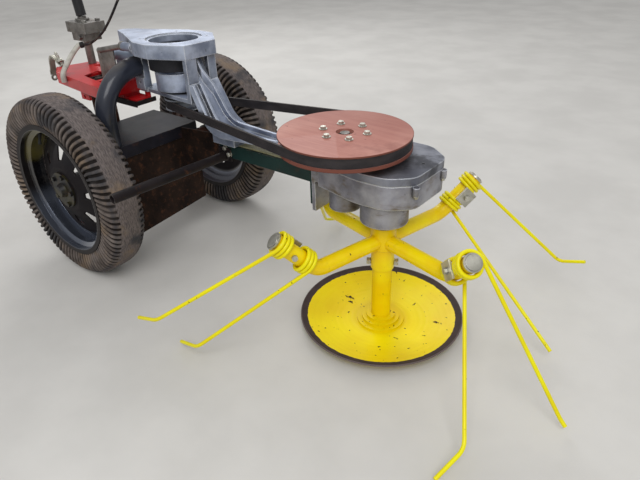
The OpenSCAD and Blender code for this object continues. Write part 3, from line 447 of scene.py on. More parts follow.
def rubber(name, low, high):
    """Dull moulded rubber"""
    f = Finish(name, 0.72)
    base = f.tones(f.noise(30, 5, 0.65), 0.35, 0.65, low, high)
    f.bump(f.noise(300, 4), 0.0006, 0.5)
    return f.done(base)


def belt_weave():
    """Canvas-backed belt: fine cords, polished dark, with a few red-brown stains"""
    f = Finish("belt_canvas", 0.62)
    cords = f.stripes(260.0, 0.6)
    base = f.tones(f.noise(14, 5, 0.6, (1, 1, 3)), 0.35, 0.7, colour(36, 33, 36),
                   colour(56, 51, 53))
    base = f.patches(base, colour(108, 66, 58), f.noise(7, 4, shift=2.2), 0.60, 0.70, 0.5)
    base = f.mix(f.times(cords, 0.25), base, colour(40, 38, 38))
    base = f.mix(f.times(f.edge(0.0018), 0.5), base, WORN_EDGE)
    f.bump(cords, 0.0005, 0.5)
    return f.done(base)


# The wooden pulley's rim, by radius, and the painted shade on one side of its top, along y
WOOD_RIM_R = (0.1735, 0.1748)
WOOD_SHADE_Y = (PULLEY.y - 0.10, PULLEY.y + 0.16)


def plywood():
    """Stained plywood: faint long grain on top, plies and burnt edges at the rim"""
    f = Finish("stained_plywood", 0.58, coat=0.08)
    edge = f.edge(0.0022)
    grain = f.noise(60, 6, 0.62, (0.10, 1.6, 0.5), 1.0)
    base = f.tones(grain, 0.30, 0.70, colour(172, 110, 98), colour(188, 128, 114))
    base = f.patches(base, colour(208, 156, 142), f.noise(6, 4, shift=3), 0.40, 0.72, 0.5)
    # Painted shade on one side of the top
    base = f.patches(base, colour(136, 84, 76), f.axis(1), *WOOD_SHADE_Y, 0.35)
    smudge = f.noise(10, 5, 0.6, shift=9)
    base = f.patches(base, colour(140, 84, 74), smudge, 0.55, 0.74, 0.5)
    rim = f.span(f.reach(PULLEY, (1, 1, 0)), *WOOD_RIM_R)
    plies = f.mix(f.stripes(190.0, 0.5), colour(92, 48, 40), colour(138, 80, 64))
    base = f.mix(rim, base, plies)
    base = f.patches(base, colour(84, 44, 40), f.noise(90, 2, shift=5), 0.73, 0.76)
    base = f.mix(f.times(edge, 0.35), base, colour(120, 66, 56))
    f.bump(grain, 0.0006, 0.3)
    return f.done(base)


def tyre_rubber():
    """Old rubber: dry mud on what stands out, painted shade in the grooves, a smoother dusty
    crown
    """
    f = Finish("muddy_tyre", 0.86, specular=0.2)
    base = f.tones(f.noise(16, 5, 0.65), 0.32, 0.68, colour(80, 72, 68), colour(126, 116, 110))
    tread = f.tones(f.noise(70, 5, 0.7, (1, 5, 1), 2), 0.36, 0.64, colour(84, 77, 76),
                    colour(122, 113, 110))
    base = f.mix(f.mark("crown"), base, tread)
    mud = f.noise(12, 5, 0.6, shift=5)
    base = f.patches(base, colour(136, 116, 94), mud, 0.50, 0.70, 0.6)
    rubbed = f.noise(9, 3, shift=7)
    base = f.patches(base, colour(50, 54, 60), rubbed, 0.52, 0.66, 0.75)
    base = f.mix(f.times(f.mark("shoulder"), 0.6), base, colour(62, 64, 70))
    # Painted shade, near black at the bottom of the grooves
    base = f.patches(base, colour(24, 19, 17), f.mark("groove"), 0.10, 0.7, 0.94)
    f.bump(f.noise(260, 4, 0.7), 0.0012, 0.6)
    f.bump(f.noise(60, 4), 0.002, 0.4)
    return f.done(base)


RIM_ROUGH = 0.16
RIM_COAT = 0.8
RIM_SPECULAR = 0.4
RIM_COAT_IOR = 1.6
RIM_COAT_ROUGH = 0.10
# A rim's zones, where each begins and where it is full, in metres: radius from the axle,
# distance outwards from the rim's middle (OUT), height over the axle (HEIGHT)
WELL_R = (0.180, 0.188)
WELL_OUT = (0.046, 0.036)
OLIVE_HEIGHT = (0.04, 0.13)
BACK_R = (0.214, 0.206)
BACK_OUT = (-0.010, -0.018)
FLANGE_R = (0.199, 0.204)
FOOT_R = (0.168, 0.176)
FOOT_HEIGHT = (-0.03, -0.12)
DISC_R = (0.174, 0.160)
DISC_HEIGHT = (0.16, 0.06)


def rim_zones(f, centre):
    """Where a rim is olive, rusty, flange, painted with a sky reflection, or disc, each from 0 to
    1
    """
    radius = f.reach(centre, (1, 0, 1))
    height = f.math("SUBTRACT", f.axis(2), centre.z)
    out = f.times(f.math("SUBTRACT", f.axis(1), centre.y), math.copysign(1, centre.y))
    uneven = f.math("ADD", height, f.span(f.noise(9, 3, shift=4), 0, 1, -0.10, 0.10))
    well = f.times(f.span(radius, *WELL_R), f.span(out, *WELL_OUT))
    olive = f.times(f.times(f.span(uneven, *OLIVE_HEIGHT), well), 0.85)
    behind = f.times(f.span(out, *BACK_OUT), f.span(radius, *BACK_R))
    flange = f.span(radius, *FLANGE_R)
    foot = f.times(f.span(radius, *FOOT_R), f.span(height, *FOOT_HEIGHT))
    # The polished zone is a painted sky reflection at the well's foot
    polished = f.times(foot, f.math("SUBTRACT", 1.0, flange))
    disc = f.times(f.span(radius, *DISC_R), f.span(height, *DISC_HEIGHT, 0.6, 1.0))
    return olive, behind, flange, polished, disc


def rim_gloss(name, centre):
    """Black enamel: olive at the well's top, a painted sky reflection at its foot, a dull disc
    and flange
    """
    f = Finish(name, RIM_ROUGH, coat=RIM_COAT, specular=RIM_SPECULAR)
    f.shader.inputs["Coat IOR"].default_value = RIM_COAT_IOR
    f.shader.inputs["Coat Roughness"].default_value = RIM_COAT_ROUGH
    edge = f.edge(0.002)
    olive, behind, flange, polished, disc = rim_zones(f, centre)
    base = f.tones(f.noise(10, 3), 0.3, 0.7, colour(9, 9, 12), colour(18, 19, 25))
    base = f.mix(olive, base, f.mix(f.noise(28, 4), colour(58, 52, 14), colour(108, 98, 24)))
    rust = f.mix(f.noise(24, 5, 0.65, shift=6), colour(72, 44, 36), colour(112, 74, 62))
    base = f.mix(behind, base, rust)
    dust = f.span(f.noise(18, 5, 0.65, shift=3), 0.54, 0.76, 0.0, 0.14)
    base = f.mix(dust, base, colour(110, 104, 98))
    worn = f.times(edge, f.span(f.noise(40, 4), 0.45, 0.6, 0.0, 0.7))
    base = f.mix(worn, base, colour(112, 104, 100))
    bare = f.mix(f.noise(30, 4, shift=8), colour(26, 24, 25), colour(50, 44, 42))
    base = f.mix(flange, base, bare)
    # Painted sky reflection at the well's foot
    base = f.mix(f.times(polished, 0.8), base, colour(112, 119, 134))
    soot = f.mix(f.noise(22, 4, shift=9), colour(20, 17, 19), colour(46, 38, 38))
    base = f.mix(f.times(disc, 0.5), base, soot)
    matt = f.most(flange, f.times(disc, 0.9))
    f.drive(f.span(matt, 0, 1, RIM_COAT, 0.0), "Coat Weight")
    f.drive(f.span(disc, 0, 1, RIM_SPECULAR, 0.15), "Specular IOR Level")
    f.bump(f.noise(14, 2), 0.003, 0.12)
    dull = f.most(f.most(olive, behind), f.most(f.times(dust, 1.6), f.times(matt, 0.8)))
    return f.done(base, f.span(dull, 0, 1, RIM_ROUGH, 0.8), f.times(polished, 0.8))


def hub_finish():
    """Dark grease over olive paint, with some rust"""
    f = Finish("greasy_olive", 0.45)
    base = f.tones(f.noise(30, 4), 0.4, 0.62, colour(20, 19, 21), colour(50, 46, 24))
    base = f.patches(base, colour(54, 38, 32), f.noise(55, 4, shift=3), 0.52, 0.66, 0.7)
    f.bump(f.noise(150, 3), 0.001, 0.4)
    return f.done(base)


def plastic(name, tone):
    """Smooth plastic with a little grime"""
    f = Finish(name, 0.42)
    base = f.patches(tone, colour(120, 114, 104), f.noise(60, 4), 0.4, 0.7, 0.35)
    f.bump(f.noise(400, 2), 0.0002, 0.3)
    return f.done(base)


ALLOY = cast_alloy("cast_alloy", 1.04, 0.35)
ALLOY_CASE = cast_alloy("cast_alloy_case", 0.96, 0.95, warm=8)
ALLOY_DECK = cast_alloy("cast_alloy_deck", 0.88, 0.5, dark_deck_patch, 5)
ALLOY_CLEAN = cast_alloy("cast_alloy_clean", 1.20, 0.15)
ALLOY_PLATE = cast_alloy("cast_alloy_plate", 1.10, 0.15, black_collar)
YELLOW = yellow_paint("yellow_paint", colour(246, 208, 2), colour(255, 234, 4), 0.35, 0.5)
YELLOW_WIRE = yellow_paint("yellow_wire", colour(238, 222, 2), colour(248, 240, 10), 0.15, 0.25)
DISH = dish_paint()
RED = red_paint()
TEAL = dark_paint("teal_paint", colour(16, 40, 38), colour(24, 56, 52), 0.45, rust=0.2, dust=0.2)
STRIP = dark_paint("strip_paint", colour(176, 168, 124), colour(206, 200, 158), 0.5)
PLATFORM = dark_paint("platform_paint", colour(18, 18, 24), colour(36, 35, 44), 0.50,
                      rust=0.22, dust=0.06, specular=0.12)
BAR = dark_paint("bar_paint", colour(24, 20, 23), colour(38, 32, 33), 0.50,
                 rust=0.35, dust=0.03, specular=0.15)
PIPE = dark_paint("pipe_paint", colour(34, 37, 46), colour(52, 56, 68), 0.30,
                  rust=0.12, dust=0.25, coat=0.3)
HANDLE = dark_paint("handle_paint", colour(30, 30, 32), colour(46, 46, 48), 0.38,
                    rust=0.2, dust=0.2, coat=0.2)
BLUE_GREY = dark_paint("blue_grey_paint", colour(130, 144, 168), colour(176, 190, 210), 0.34,
                       rust=0.2, coat=0.3, specular=0.5)
CHAIN = dark_paint("oily_steel", colour(34, 28, 26), colour(56, 46, 42), 0.42, rust=0.5, dust=0.0)
RUST = rusty("rusty_sheet", colour(26, 19, 17), colour(46, 33, 27))
RUST_RED = rusty("rusty_case", colour(56, 34, 28), colour(90, 54, 42))
STEEL = metal("weathered_steel", colour(112, 108, 104), colour(150, 147, 142), 0.50, 0.5)
BRIGHT = metal("turned_steel", colour(168, 168, 166), colour(200, 200, 198), 0.32, 0.2)
ZINC = metal("dull_zinc", colour(176, 174, 162), colour(214, 212, 200), 0.38)
BELT = belt_weave()
PLYWOOD = plywood()
TYRE = tyre_rubber()
HUB = hub_finish()
GRIP = rubber("grip_rubber", colour(26, 26, 27), colour(44, 43, 42))
HOSE = plastic("pale_hose", colour(196, 194, 184))
CABLE = plastic("black_cable", colour(28, 28, 30))
RIMS = {side: rim_gloss("rim_gloss_" + side, middle("rim_" + side)) for side in SIDES}

FINISH_OF = {
    "engine_plate": ALLOY_PLATE, "bell_frame": ALLOY, "swept_arm": ALLOY_CLEAN,
    "gear_case": ALLOY_CASE, "case_cover": ALLOY_DECK, "beam": TEAL, "beam_strip": STRIP,
    "cross_bar": BAR, "platform": PLATFORM, "apron": RUST, "tie_plate": RUST,
    "support_pipe": PIPE, "axle_case": RUST_RED, "axle": STEEL, "red_frame": RED,
    "rear_angle": BAR, "sprocket": CHAIN, "coupling_tube": BLUE_GREY, "column_post": STEEL,
    "column_clamp": STEEL, "handlebar": HANDLE, "grips": GRIP, "hand_levers": ZINC,
    "control_rod": STEEL, "hose": HOSE, "cable": CABLE, "belt": BELT,
    "clutch_drum": ALLOY_CLEAN, "drive_pulley": ALLOY, "wood_pulley": PLYWOOD,
    "pulley_bolts": ZINC, "pulley_shaft": STEEL, "rotor_hub": YELLOW, "rotor_shaft": BRIGHT,
    "rotor_post": YELLOW, "post_sleeve": YELLOW, "rotor_fasteners": ZINC, "tines": YELLOW_WIRE,
    "arm_caps": ZINC, "skid_dish": DISH, "tyre_left": TYRE, "tyre_right": TYRE,
    "rim_left": RIMS["left"], "rim_right": RIMS["right"], "hub_left": HUB, "hub_right": HUB}
for node, node_object in NODES.items():
    node_object.data.materials.clear()
    node_object.data.materials.append(FINISH_OF[node])


# Mesh pieces

SHARP = math.radians(38)


def piece(name, mesh, body, finish):
    """A bmesh as a piece that rides on a body; edges over the sharp angle stay crisp"""
    bmesh.ops.recalc_face_normals(mesh, faces=mesh.faces)
    for face in mesh.faces:
        face.smooth = True
    for line in mesh.edges:
        line.smooth = len(line.link_faces) == 2 and line.calc_face_angle(0) < SHARP
    data = bpy.data.meshes.new(name)
    mesh.to_mesh(data)
    mesh.free()
    data.materials.append(finish)
    made = show(bpy.data.objects.new(name, data))
    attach(made, body)
    return made


def skin(mesh, rings, closed_along=False, caps=False):
    """Faces between closed rings of points, each ring with as many points as the next"""
    rows = [[mesh.verts.new(p) for p in ring] for ring in rings]
    count = len(rows[0])
    for i in range(len(rows) - (0 if closed_along else 1)):
        here, after = rows[i], rows[(i + 1) % len(rows)]
        for k in range(count):
            m = (k + 1) % count
            mesh.faces.new((here[k], here[m], after[m], after[k]))
    if caps:
        mesh.faces.new(rows[0])
        mesh.faces.new(rows[-1])
    return rows


def circle(across, other, count):
    """Unit steps round a circle in the plane of two vectors"""
    turns = (2 * math.pi * k / count for k in range(count))
    return [across * math.cos(t) + other * math.sin(t) for t in turns]


def heading(path, i):
    """The direction of a path at one of its points"""
    return (path[min(i + 1, len(path) - 1)] - path[max(i - 1, 0)]).normalized()


def tube_rings(path, radius, sides):
    """Rings round a path, each ring's frame carried on from the one before"""
    rings = []
    across = None
    for i, point in enumerate(path):
        ahead = heading(path, i)
        if across is None:
            across = ahead.cross(UP if abs(ahead.z) < 0.9 else FORWARD).normalized()
        across = (across - ahead * ahead.dot(across)).normalized()
        rings.append([point + radius * step
                      for step in circle(across, ahead.cross(across), sides)])
    return rings


def add_tube(mesh, path, radius, sides):
    """A round wire along a path, closed at both ends"""
    skin(mesh, tube_rings(path, radius, sides), caps=True)


def add_turned(mesh, start, axis, profile, sides):
    """A solid turned about an axis, from its profile's columns: distance along, radius"""
    along = axis.normalized()
    across = along.orthogonal().normalized()
    steps = circle(across, along.cross(across), sides)
    skin(mesh, [[start + along * a + r * step for step in steps] for a, r in profile], caps=True)


def add_prism(mesh, outline, rise):
    """A flat outline carried along a vector"""
    skin(mesh, [outline, [p + rise for p in outline]], caps=True)


WASHER_THICK = 0.0016
WASHER_BEVEL = 0.0005
CROWN_HEIGHT = 0.0005
# Bolts and a nut, columns: the head's radius and height, the washer's radius
CASE_BOLT = (0.0065, 0.0055, 0.0080)
LATCH_NUT = (0.0105, 0.0090, 0.0130)
BEAM_BOLT = (0.0075, 0.0060, 0.0100)


def add_bolt(mesh, seat, axis, radius, height, washer):
    """A washer and a hexagon head with its upper corners turned off"""
    along = axis.normalized()
    disc = [(0, washer), (WASHER_THICK * 0.75, washer), (WASHER_THICK, washer - WASHER_BEVEL)]
    head = [(0, radius), (height * 0.8, radius), (height, radius * 0.86)]
    crown = [(0, radius * 0.72), (CROWN_HEIGHT, radius * 0.66)]
    head_at = seat + along * WASHER_THICK
    add_turned(mesh, seat, along, disc, 24)
    add_turned(mesh, head_at, along, head, 6)
    add_turned(mesh, head_at + along * height, along, crown, 16)


def smooth_path(points, steps):
    """A curve through given points, the same one as in the CAD source"""
    path = []
    last = len(points) - 1
    for i in range(last):
        a, b, c, d = points[max(i - 1, 0)], points[i], points[i + 1], points[min(i + 2, last)]
        for j in range(steps):
            t = j / steps
            path.append(0.5 * (2 * b + (c - a) * t + (2 * a - 5 * b + 4 * c - d) * t * t
                               + (3 * b - a - 3 * c + d) * t * t * t))
    return path + [points[last]]


# Cable from the right-hand lever to the hose, and the hose over its lower end

CABLE_ROUTE = [(-1661.8, -270, 985), (-1600, -292, 962), (-1500, -262, 955), (-1400, -170, 960),
               (-1200, -60, 985), (-1030, 10, 960), (-960, 10, 880), (-1010, -4, 800),
               (-1100, -10, 715), (-1163, -28, 672), (-1179.8, -51.7, 668.1)]
HOSE_ROUTE = [(-1180, -52, 668), (-1188, -64, 666), (-1186, -92, 646), (-1168, -128, 624),
              (-1153, -156, 605), (-1148, -166.3, 589), (-1148, -166.3, 572)]
CABLE_R = 0.004
HOSE_R = 0.0085
CORD_STEPS = 8
CORD_SIDES = 20
# Columns: distance along, radius
FERRULE = [(0, 0.0050), (0.001, 0.0092), (0.004, 0.0100), (0.013, 0.0100), (0.014, 0.0088)]
FERRULE_BACK = 0.004


def cord(name, route, radius, finish, extra):
    """A round cord in place of the CAD node of its name"""
    path = smooth_path([at(*point) for point in route], CORD_STEPS)
    mesh = bmesh.new()
    add_tube(mesh, path, radius, CORD_SIDES)
    made = piece(name + "_line", mesh, "frame", finish)
    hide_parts(name)


def ferrule():
    """Dark sleeve where the cable enters the hose"""
    mesh = bmesh.new()
    start, ahead = at(*HOSE_ROUTE[0]), at(*HOSE_ROUTE[1]) - at(*HOSE_ROUTE[0])
    add_turned(mesh, start - ahead.normalized() * FERRULE_BACK, ahead, FERRULE, 24)
    return piece("hose_ferrule", mesh, "frame", GRIP)


cord("cable", CABLE_ROUTE, CABLE_R, CABLE, [])
cord("hose", HOSE_ROUTE, HOSE_R, HOSE, [ferrule()])


# Tyres: the lugs of the CAD solid, rounded and worn

LUGS = 92
LUG_DEPTH = 0.009
# Half section, columns: half width, radius, share of the lugs' depth
TYRE_HALF = [(0.0500, 0.2050, 0.0), (0.0528, 0.2120, 0.5), (0.0562, 0.2200, 1.0),
             (0.0602, 0.2350, 1.0), (0.0619, 0.2500, 1.0), (0.0612, 0.2640, 1.0),
             (0.0578, 0.2775, 1.0), (0.0500, 0.2868, 1.0), (0.0415, 0.2915, 1.0),
             (0.0365, 0.2928, 0.35), (0.0300, 0.2938, 0.0), (0.0150, 0.2947, 0.0),
             (0.0, 0.2950, 0.0)]
SECTION_STEPS = 3
# One lug and its groove, columns: share of the pitch, share of the depth
LUG_STEPS = [(0.00, 0.30), (0.06, 0.05), (0.23, 0.0), (0.40, 0.05), (0.46, 0.30), (0.54, 0.90),
             (0.73, 1.0), (0.92, 0.90)]
# The lugs lean forward beyond a radius, by this share of their pitch for each stretch
LUG_SWEEP = 0.35
SWEEP_FROM = 0.25
SWEEP_STRETCH = 0.04
# Radii of the side's middle, the shoulder and the crown's edge, and how far the last two blend
SIDE_R = 0.235
SHOULDER_R = 0.286
SHOULDER_BLEND = 0.008
CROWN_R = 0.289
CROWN_BLEND = 0.004
BULGE = 2.2
# Uneven wear of the lugs, and a fine roughness of the surface
WEAR_MIDDLE = 0.75
WEAR_SWING = 0.5
WEAR_SCALE = 2.1
WEAR_SHIFT = Vector((0, 0, 7))
ROUGH_SCALE = 9
ROUGH_DEPTH = 0.0006
# The noises are read on a ring of this radius, with the width stretched
NOISE_RING = 2.2
NOISE_WIDTH = 30
TYRE_MARKS = ("groove", "crown", "shoulder")


def tread_point(q, turn, depth):
    """A point of the worn section q, and how far it is groove, crown and shoulder"""
    lean = LUG_SWEEP * max(0.0, (q.y - SWEEP_FROM) / SWEEP_STRETCH) * (1 if q.x >= 0 else -1)
    angle = 2 * math.pi * (turn + lean) / LUGS
    spot = Vector((math.cos(angle) * NOISE_RING, q.x * NOISE_WIDTH, math.sin(angle) * NOISE_RING))
    wear = WEAR_MIDDLE + WEAR_SWING * noise.noise(spot * WEAR_SCALE + WEAR_SHIFT)
    low = depth * unit(q.z) * min(1.0, wear)
    facing = Vector((q.x * BULGE, q.y - SIDE_R)).normalized()
    rough = ROUGH_DEPTH * abs(noise.noise(spot * ROUGH_SCALE))
    radius = q.y - low * LUG_DEPTH * max(0.0, facing.y) - rough
    width = q.x - low * LUG_DEPTH * facing.x
    place = Vector((radius * math.cos(angle), width, radius * math.sin(angle)))
    return place, (low, unit((q.y - CROWN_R) / CROWN_BLEND),
                   unit(1 - abs(q.y - SHOULDER_R) / SHOULDER_BLEND))


def tyre(side):
    """The whole tyre as one closed skin, with its marks on the points"""
    node = "tyre_" + side
    centre = middle(node)
    half = smooth_path([Vector(q) for q in TYRE_HALF], SECTION_STEPS)
    section = half + [Vector((-q.x, q.y, q.z)) for q in reversed(half[:-1])]
    mesh = bmesh.new()
    layers = [mesh.verts.layers.float.new(name) for name in TYRE_MARKS]
    points = [[tread_point(q, lug + share, depth) for q in section]
              for lug in range(LUGS) for share, depth in LUG_STEPS]
    rows = skin(mesh, [[centre + place for place, _ in ring] for ring in points],
                closed_along=True)
    for row, ring in zip(rows, points):
        for vertex, (_, marks) in zip(row, ring):
            for layer, value in zip(layers, marks):
                vertex[layer] = value
    made = piece("lugged_tyre_" + side, mesh, "wheel_" + side, TYRE)
    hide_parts(node)


for wheel_side in SIDES:
    tyre(wheel_side)


# Spring tines: smooth wires on the same lines as the CAD ones, in metres and degrees

ARM_Z = 0.273
ARM_REACH = 0.225
ARM_BEND_R = 0.049
END_RISE = math.radians(44)
END_SWEEP = math.radians(24)
ARM_START = 255.5
WIRE_R = 0.005
WIRE_SIDES = 12
COIL_R = 0.029
COIL_LENGTH = 0.028
COIL_AT = (0.023, 0.098)
COIL_STEPS = 24
TINE_LENGTH = 0.389
TIP_LENGTH = 0.092
BRIDGE_TURN = 292 + 720
# Shares of the tip and of the leg that a knee's curve takes, and places along the leg
KNEE_TIP = 0.22
KNEE_LEG = 0.05
LEG_PLACES = (0.35, 0.65, 0.9, 0.97)
BRIDGE_BEND = 0.2
# Columns: arm, coil, turn, lean, tip bend
TINE_SET = [(0, 0, 102, 7, 42), (0, 1, 105, 11, 34), (1, 0, 107, 4.6, 45), (1, 1, 70, -15, -43),
            (2, 0, 147, -10, 1), (2, 1, 105, 5, 5), (3, 0, 104, 8, 35), (3, 1, 104, 8, 35)]
# Knee and tip, in mm from the rotor's foot, of the two tines that the photograph shows bent
# another way than the rest: by arm and coil
BENT_ENDS = {(1, 1): ((541, -103, 33), (557, -108, 20)),
             (2, 1): ((360, 441, 100), (432, 430, 130))}
# Frame of one arm's raised end
END_AXIS = Vector((math.cos(END_SWEEP) * math.cos(END_RISE),
                   -math.sin(END_SWEEP) * math.cos(END_RISE), math.sin(END_RISE)))
END_START = (Vector((ARM_REACH, 0, ARM_Z))
             + END_AXIS * ARM_BEND_R * math.tan(math.acos(END_AXIS.x) / 2))
END_ACROSS = UP.cross(END_AXIS).normalized()
END_DOWN = END_ACROSS.cross(END_AXIS)


def arm_turn(arm):
    """One arm's turn about the rotor's axis"""
    return Matrix.Rotation(math.radians(ARM_START + 90 * arm), 3, "Z")


def bend_through(a, corner, b, steps=5):
    """A short curve from a to b that turns at a corner"""
    shares = [k / steps for k in range(steps + 1)]
    return [a.lerp(corner, t).lerp(corner.lerp(b, t), t) for t in shares]


def coil_point(degrees, along):
    """A point of a coil, by its angle and its place along the arm's end"""
    angle = math.radians(degrees)
    return (END_START + COIL_R * (END_DOWN * math.cos(angle) + END_ACROSS * math.sin(angle))
            + END_AXIS * along)


def knee_and_tip(arm, coil, start, down, side, tip_bend):
    """The leg's lower end and the tip, on the arm's own axes"""
    if (arm, coil) in BENT_ENDS:
        return [arm_turn(arm).inverted() @ mm(*place) for place in BENT_ENDS[arm, coil]]
    knee = start + down * TINE_LENGTH
    return knee, knee + (down * math.cos(tip_bend) + side * math.sin(tip_bend)) * TIP_LENGTH


def half_tine(arm, coil, turn, lean, tip_bend):
    """From the tip up the leg and round the coil to the bridge"""
    turn, lean, tip_bend = (math.radians(a) for a in (turn, lean, tip_bend))
    leg = END_ACROSS * math.cos(turn) + END_DOWN * math.sin(turn)
    side = END_DOWN * math.cos(turn) - END_ACROSS * math.sin(turn)
    outward = -1 if coil == 0 else 1
    leg_at = COIL_AT[coil] + outward * COIL_LENGTH / 2
    start = END_START + END_AXIS * leg_at - side * COIL_R
    down = leg * math.cos(lean) + END_AXIS * math.sin(lean)
    knee, tip = knee_and_tip(arm, coil, start, down, side, tip_bend)
    path = [tip] + bend_through(knee.lerp(tip, KNEE_TIP), knee, knee.lerp(start, KNEE_LEG), 6)
    path += [knee.lerp(start, share) for share in LEG_PLACES]
    first = 180 - math.degrees(turn)
    count = math.ceil((BRIDGE_TURN - first) / 360 * COIL_STEPS)
    for i in range(count):
        along = COIL_AT[coil] + outward * COIL_LENGTH * (0.5 - i / count)
        path.append(coil_point(first + (BRIDGE_TURN - first) * i / count, along))
    return path


def bridge():
    """Both ends of the straight wire between an arm's two coils"""
    low = COIL_AT[0] + COIL_LENGTH / 2
    high = COIL_AT[1] - COIL_LENGTH / 2
    return coil_point(BRIDGE_TURN, low), coil_point(BRIDGE_TURN, high)


def tines():
    """One wire for each arm: tip, leg, coil, bridge, coil, leg, tip"""
    mesh = bmesh.new()
    low, high = bridge()
    for arm in range(4):
        inner, outer = (half_tine(*row) for row in TINE_SET if row[0] == arm)
        path = (inner[:-1] + bend_through(inner[-1], low, low.lerp(high, BRIDGE_BEND))
                + bend_through(high.lerp(low, BRIDGE_BEND), high, outer[-1]) + outer[-2::-1])
        add_tube(mesh, [ROTOR + arm_turn(arm) @ point for point in path], WIRE_R, WIRE_SIDES)
    made = piece("spring_tines", mesh, "rotor", YELLOW_WIRE)
    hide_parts("tines")


tines()


# Grips with rings moulded round them: places in mm, lengths in m

GRIP_END = -1810
GRIP_SIDE = 270
GRIP_Z = 1010
GRIP_R = 0.018
GRIP_RINGS = 13
RING_START = 0.012
RING_PITCH = 0.0072
# Columns: distance along, change of radius
RING = [(0, 0), (0.0012, -0.0016), (0.0030, -0.0016), (0.0042, 0)]
GRIP_NOSE = [(0, GRIP_R * 0.72), (0.002, GRIP_R * 0.94), (0.005, GRIP_R)]
GRIP_FLANGE = [(0.112, GRIP_R), (0.114, 0.0205), (0.116, 0.021), (0.119, 0.021), (0.120, 0.020)]


def grips():
    """Both grips, turned from one profile"""
    rings = [(RING_START + i * RING_PITCH + along, GRIP_R + rise)
             for i in range(GRIP_RINGS) for along, rise in RING]
    mesh = bmesh.new()
    for side in (-1, 1):
        add_turned(mesh, at(GRIP_END, side * GRIP_SIDE, GRIP_Z), FORWARD,
                   GRIP_NOSE + rings + GRIP_FLANGE, 40)
    made = piece("ribbed_grips", mesh, "frame", GRIP)
    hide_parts("grips")


grips()


# Small fasteners and trim. Places are in mm, and profiles have the columns: distance along,
# radius, in m

CASE_BOSSES = [(103, -28), (108, 104)]
CASE_BOSS_Z = 441
BOSS_PROFILE = [(0, 0.0075), (0.002, 0.009), (0.0225, 0.009)]


def case_bosses():
    """Cast bosses on the case's side, each with a bolt up into the cover"""
    bosses, bolts = bmesh.new(), bmesh.new()
    for x, y in CASE_BOSSES:
        foot = at(x, y, CASE_BOSS_Z)
        add_turned(bosses, foot, UP, BOSS_PROFILE, 24)
        add_bolt(bolts, foot, -UP, *CASE_BOLT)
    piece("case_bosses", bosses, "frame", ALLOY_CASE)
    piece("case_bolts", bolts, "frame", ZINC)


# Sprocket's centre, and the chain that runs round its near half and on in two straight runs
SPROCKET = (-1062, -90, 568)
CHAIN_R = 32
CHAIN_LINKS = 9
RUN_LINKS = 4
ROLLER = [(0, 0.0018), (0, 0.0036), (0.0125, 0.0036), (0.0125, 0.0018)]
ROLLER_DROP = 2.2
PLATE_END_R = 0.0052
PLATE_WAIST = 0.0036
PLATE_THICK = 1.2
PLATE_STEPS = 6
# Heights of a link's two plates, for inner and outer links
PLATE_HEIGHTS = ((-0.4, 9.4), (-1.9, 10.9))


def chain_places():
    """The rollers' places, one after the other"""
    pitch = math.pi * CHAIN_R / CHAIN_LINKS
    turns = [math.pi * i / CHAIN_LINKS for i in range(CHAIN_LINKS + 1)]
    spots = [(CHAIN_R, k * pitch) for k in range(RUN_LINKS, 0, -1)]
    spots += [(CHAIN_R * math.cos(t), -CHAIN_R * math.sin(t)) for t in turns]
    spots += [(-CHAIN_R, k * pitch) for k in range(1, RUN_LINKS + 1)]
    return [at(SPROCKET[0] + x, SPROCKET[1] + y, SPROCKET[2]) for x, y in spots]


def plate_outline(a, b):
    """A chain plate from a to b: round ends and a narrow waist"""
    ahead = (b - a).normalized()
    aside = UP.cross(ahead)
    turns = [math.pi * (k / PLATE_STEPS - 0.5) for k in range(PLATE_STEPS + 1)]
    ends = [[centre + PLATE_END_R * sign * (ahead * math.cos(t) + aside * math.sin(t))
             for t in turns] for centre, sign in ((a, -1), (b, 1))]
    waist = aside * PLATE_WAIST
    return ends[0] + [(a + b) / 2 - waist] + ends[1] + [(a + b) / 2 + waist]


def chain():
    """Rollers and plates, the plates by turns inside and outside"""
    places = chain_places()
    mesh = bmesh.new()
    for i, place in enumerate(places):
        add_turned(mesh, place - mm(0, 0, ROLLER_DROP), UP, ROLLER, 12)
        if i + 1 < len(places):
            outline = plate_outline(place, places[i + 1])
            for low in PLATE_HEIGHTS[i % 2]:
                add_prism(mesh, [p + mm(0, 0, low) for p in outline], mm(0, 0, PLATE_THICK))
    piece("roller_chain", mesh, "frame", CHAIN)


LATCH_Y = -84
STUD_AT = (-1284, LATCH_Y, 590)
STUD_LEAN = Vector((-0.62, 0, 0.78)).normalized()
THREADS = 16
THREAD_START = 0.004
THREAD_PITCH = 0.0030
THREAD_R = 0.0056
THREAD_ROOT_R = 0.0046
STUD_FOOT = [(0, 0.0055)]
STUD_END = [(0.054, 0.0050), (0.056, 0.0040)]
NUT_AT = 0.016
# The strap's middle line, places along x and z
STRAP_LINE = [(-1279, 592), (-1300, 600), (-1324, 617), (-1342, 620), (-1354, 606), (-1362, 578),
              (-1366, 552)]
STRAP_STEPS = 5
STRAP_HALF = 0.011
STRAP_WIDE_HALF = 0.013
STRAP_WIDE_RINGS = 4
STRAP_HALF_THICK = 0.002
EYE_AT = 0.011
EYE_HOLE_R = 0.0055
EYE_R = 0.0130
EYE_SIDES = 24


def stud(mesh):
    """A threaded stud that leans back, with its washer and nut"""
    foot = at(*STUD_AT)
    threads = []
    for i in range(THREADS):
        step = THREAD_START + i * THREAD_PITCH
        threads += [(step, THREAD_R), (step + THREAD_PITCH / 2, THREAD_ROOT_R)]
    add_turned(mesh, foot, STUD_LEAN, STUD_FOOT + threads + STUD_END, 16)
    add_bolt(mesh, foot + STUD_LEAN * NUT_AT, STUD_LEAN, *LATCH_NUT)


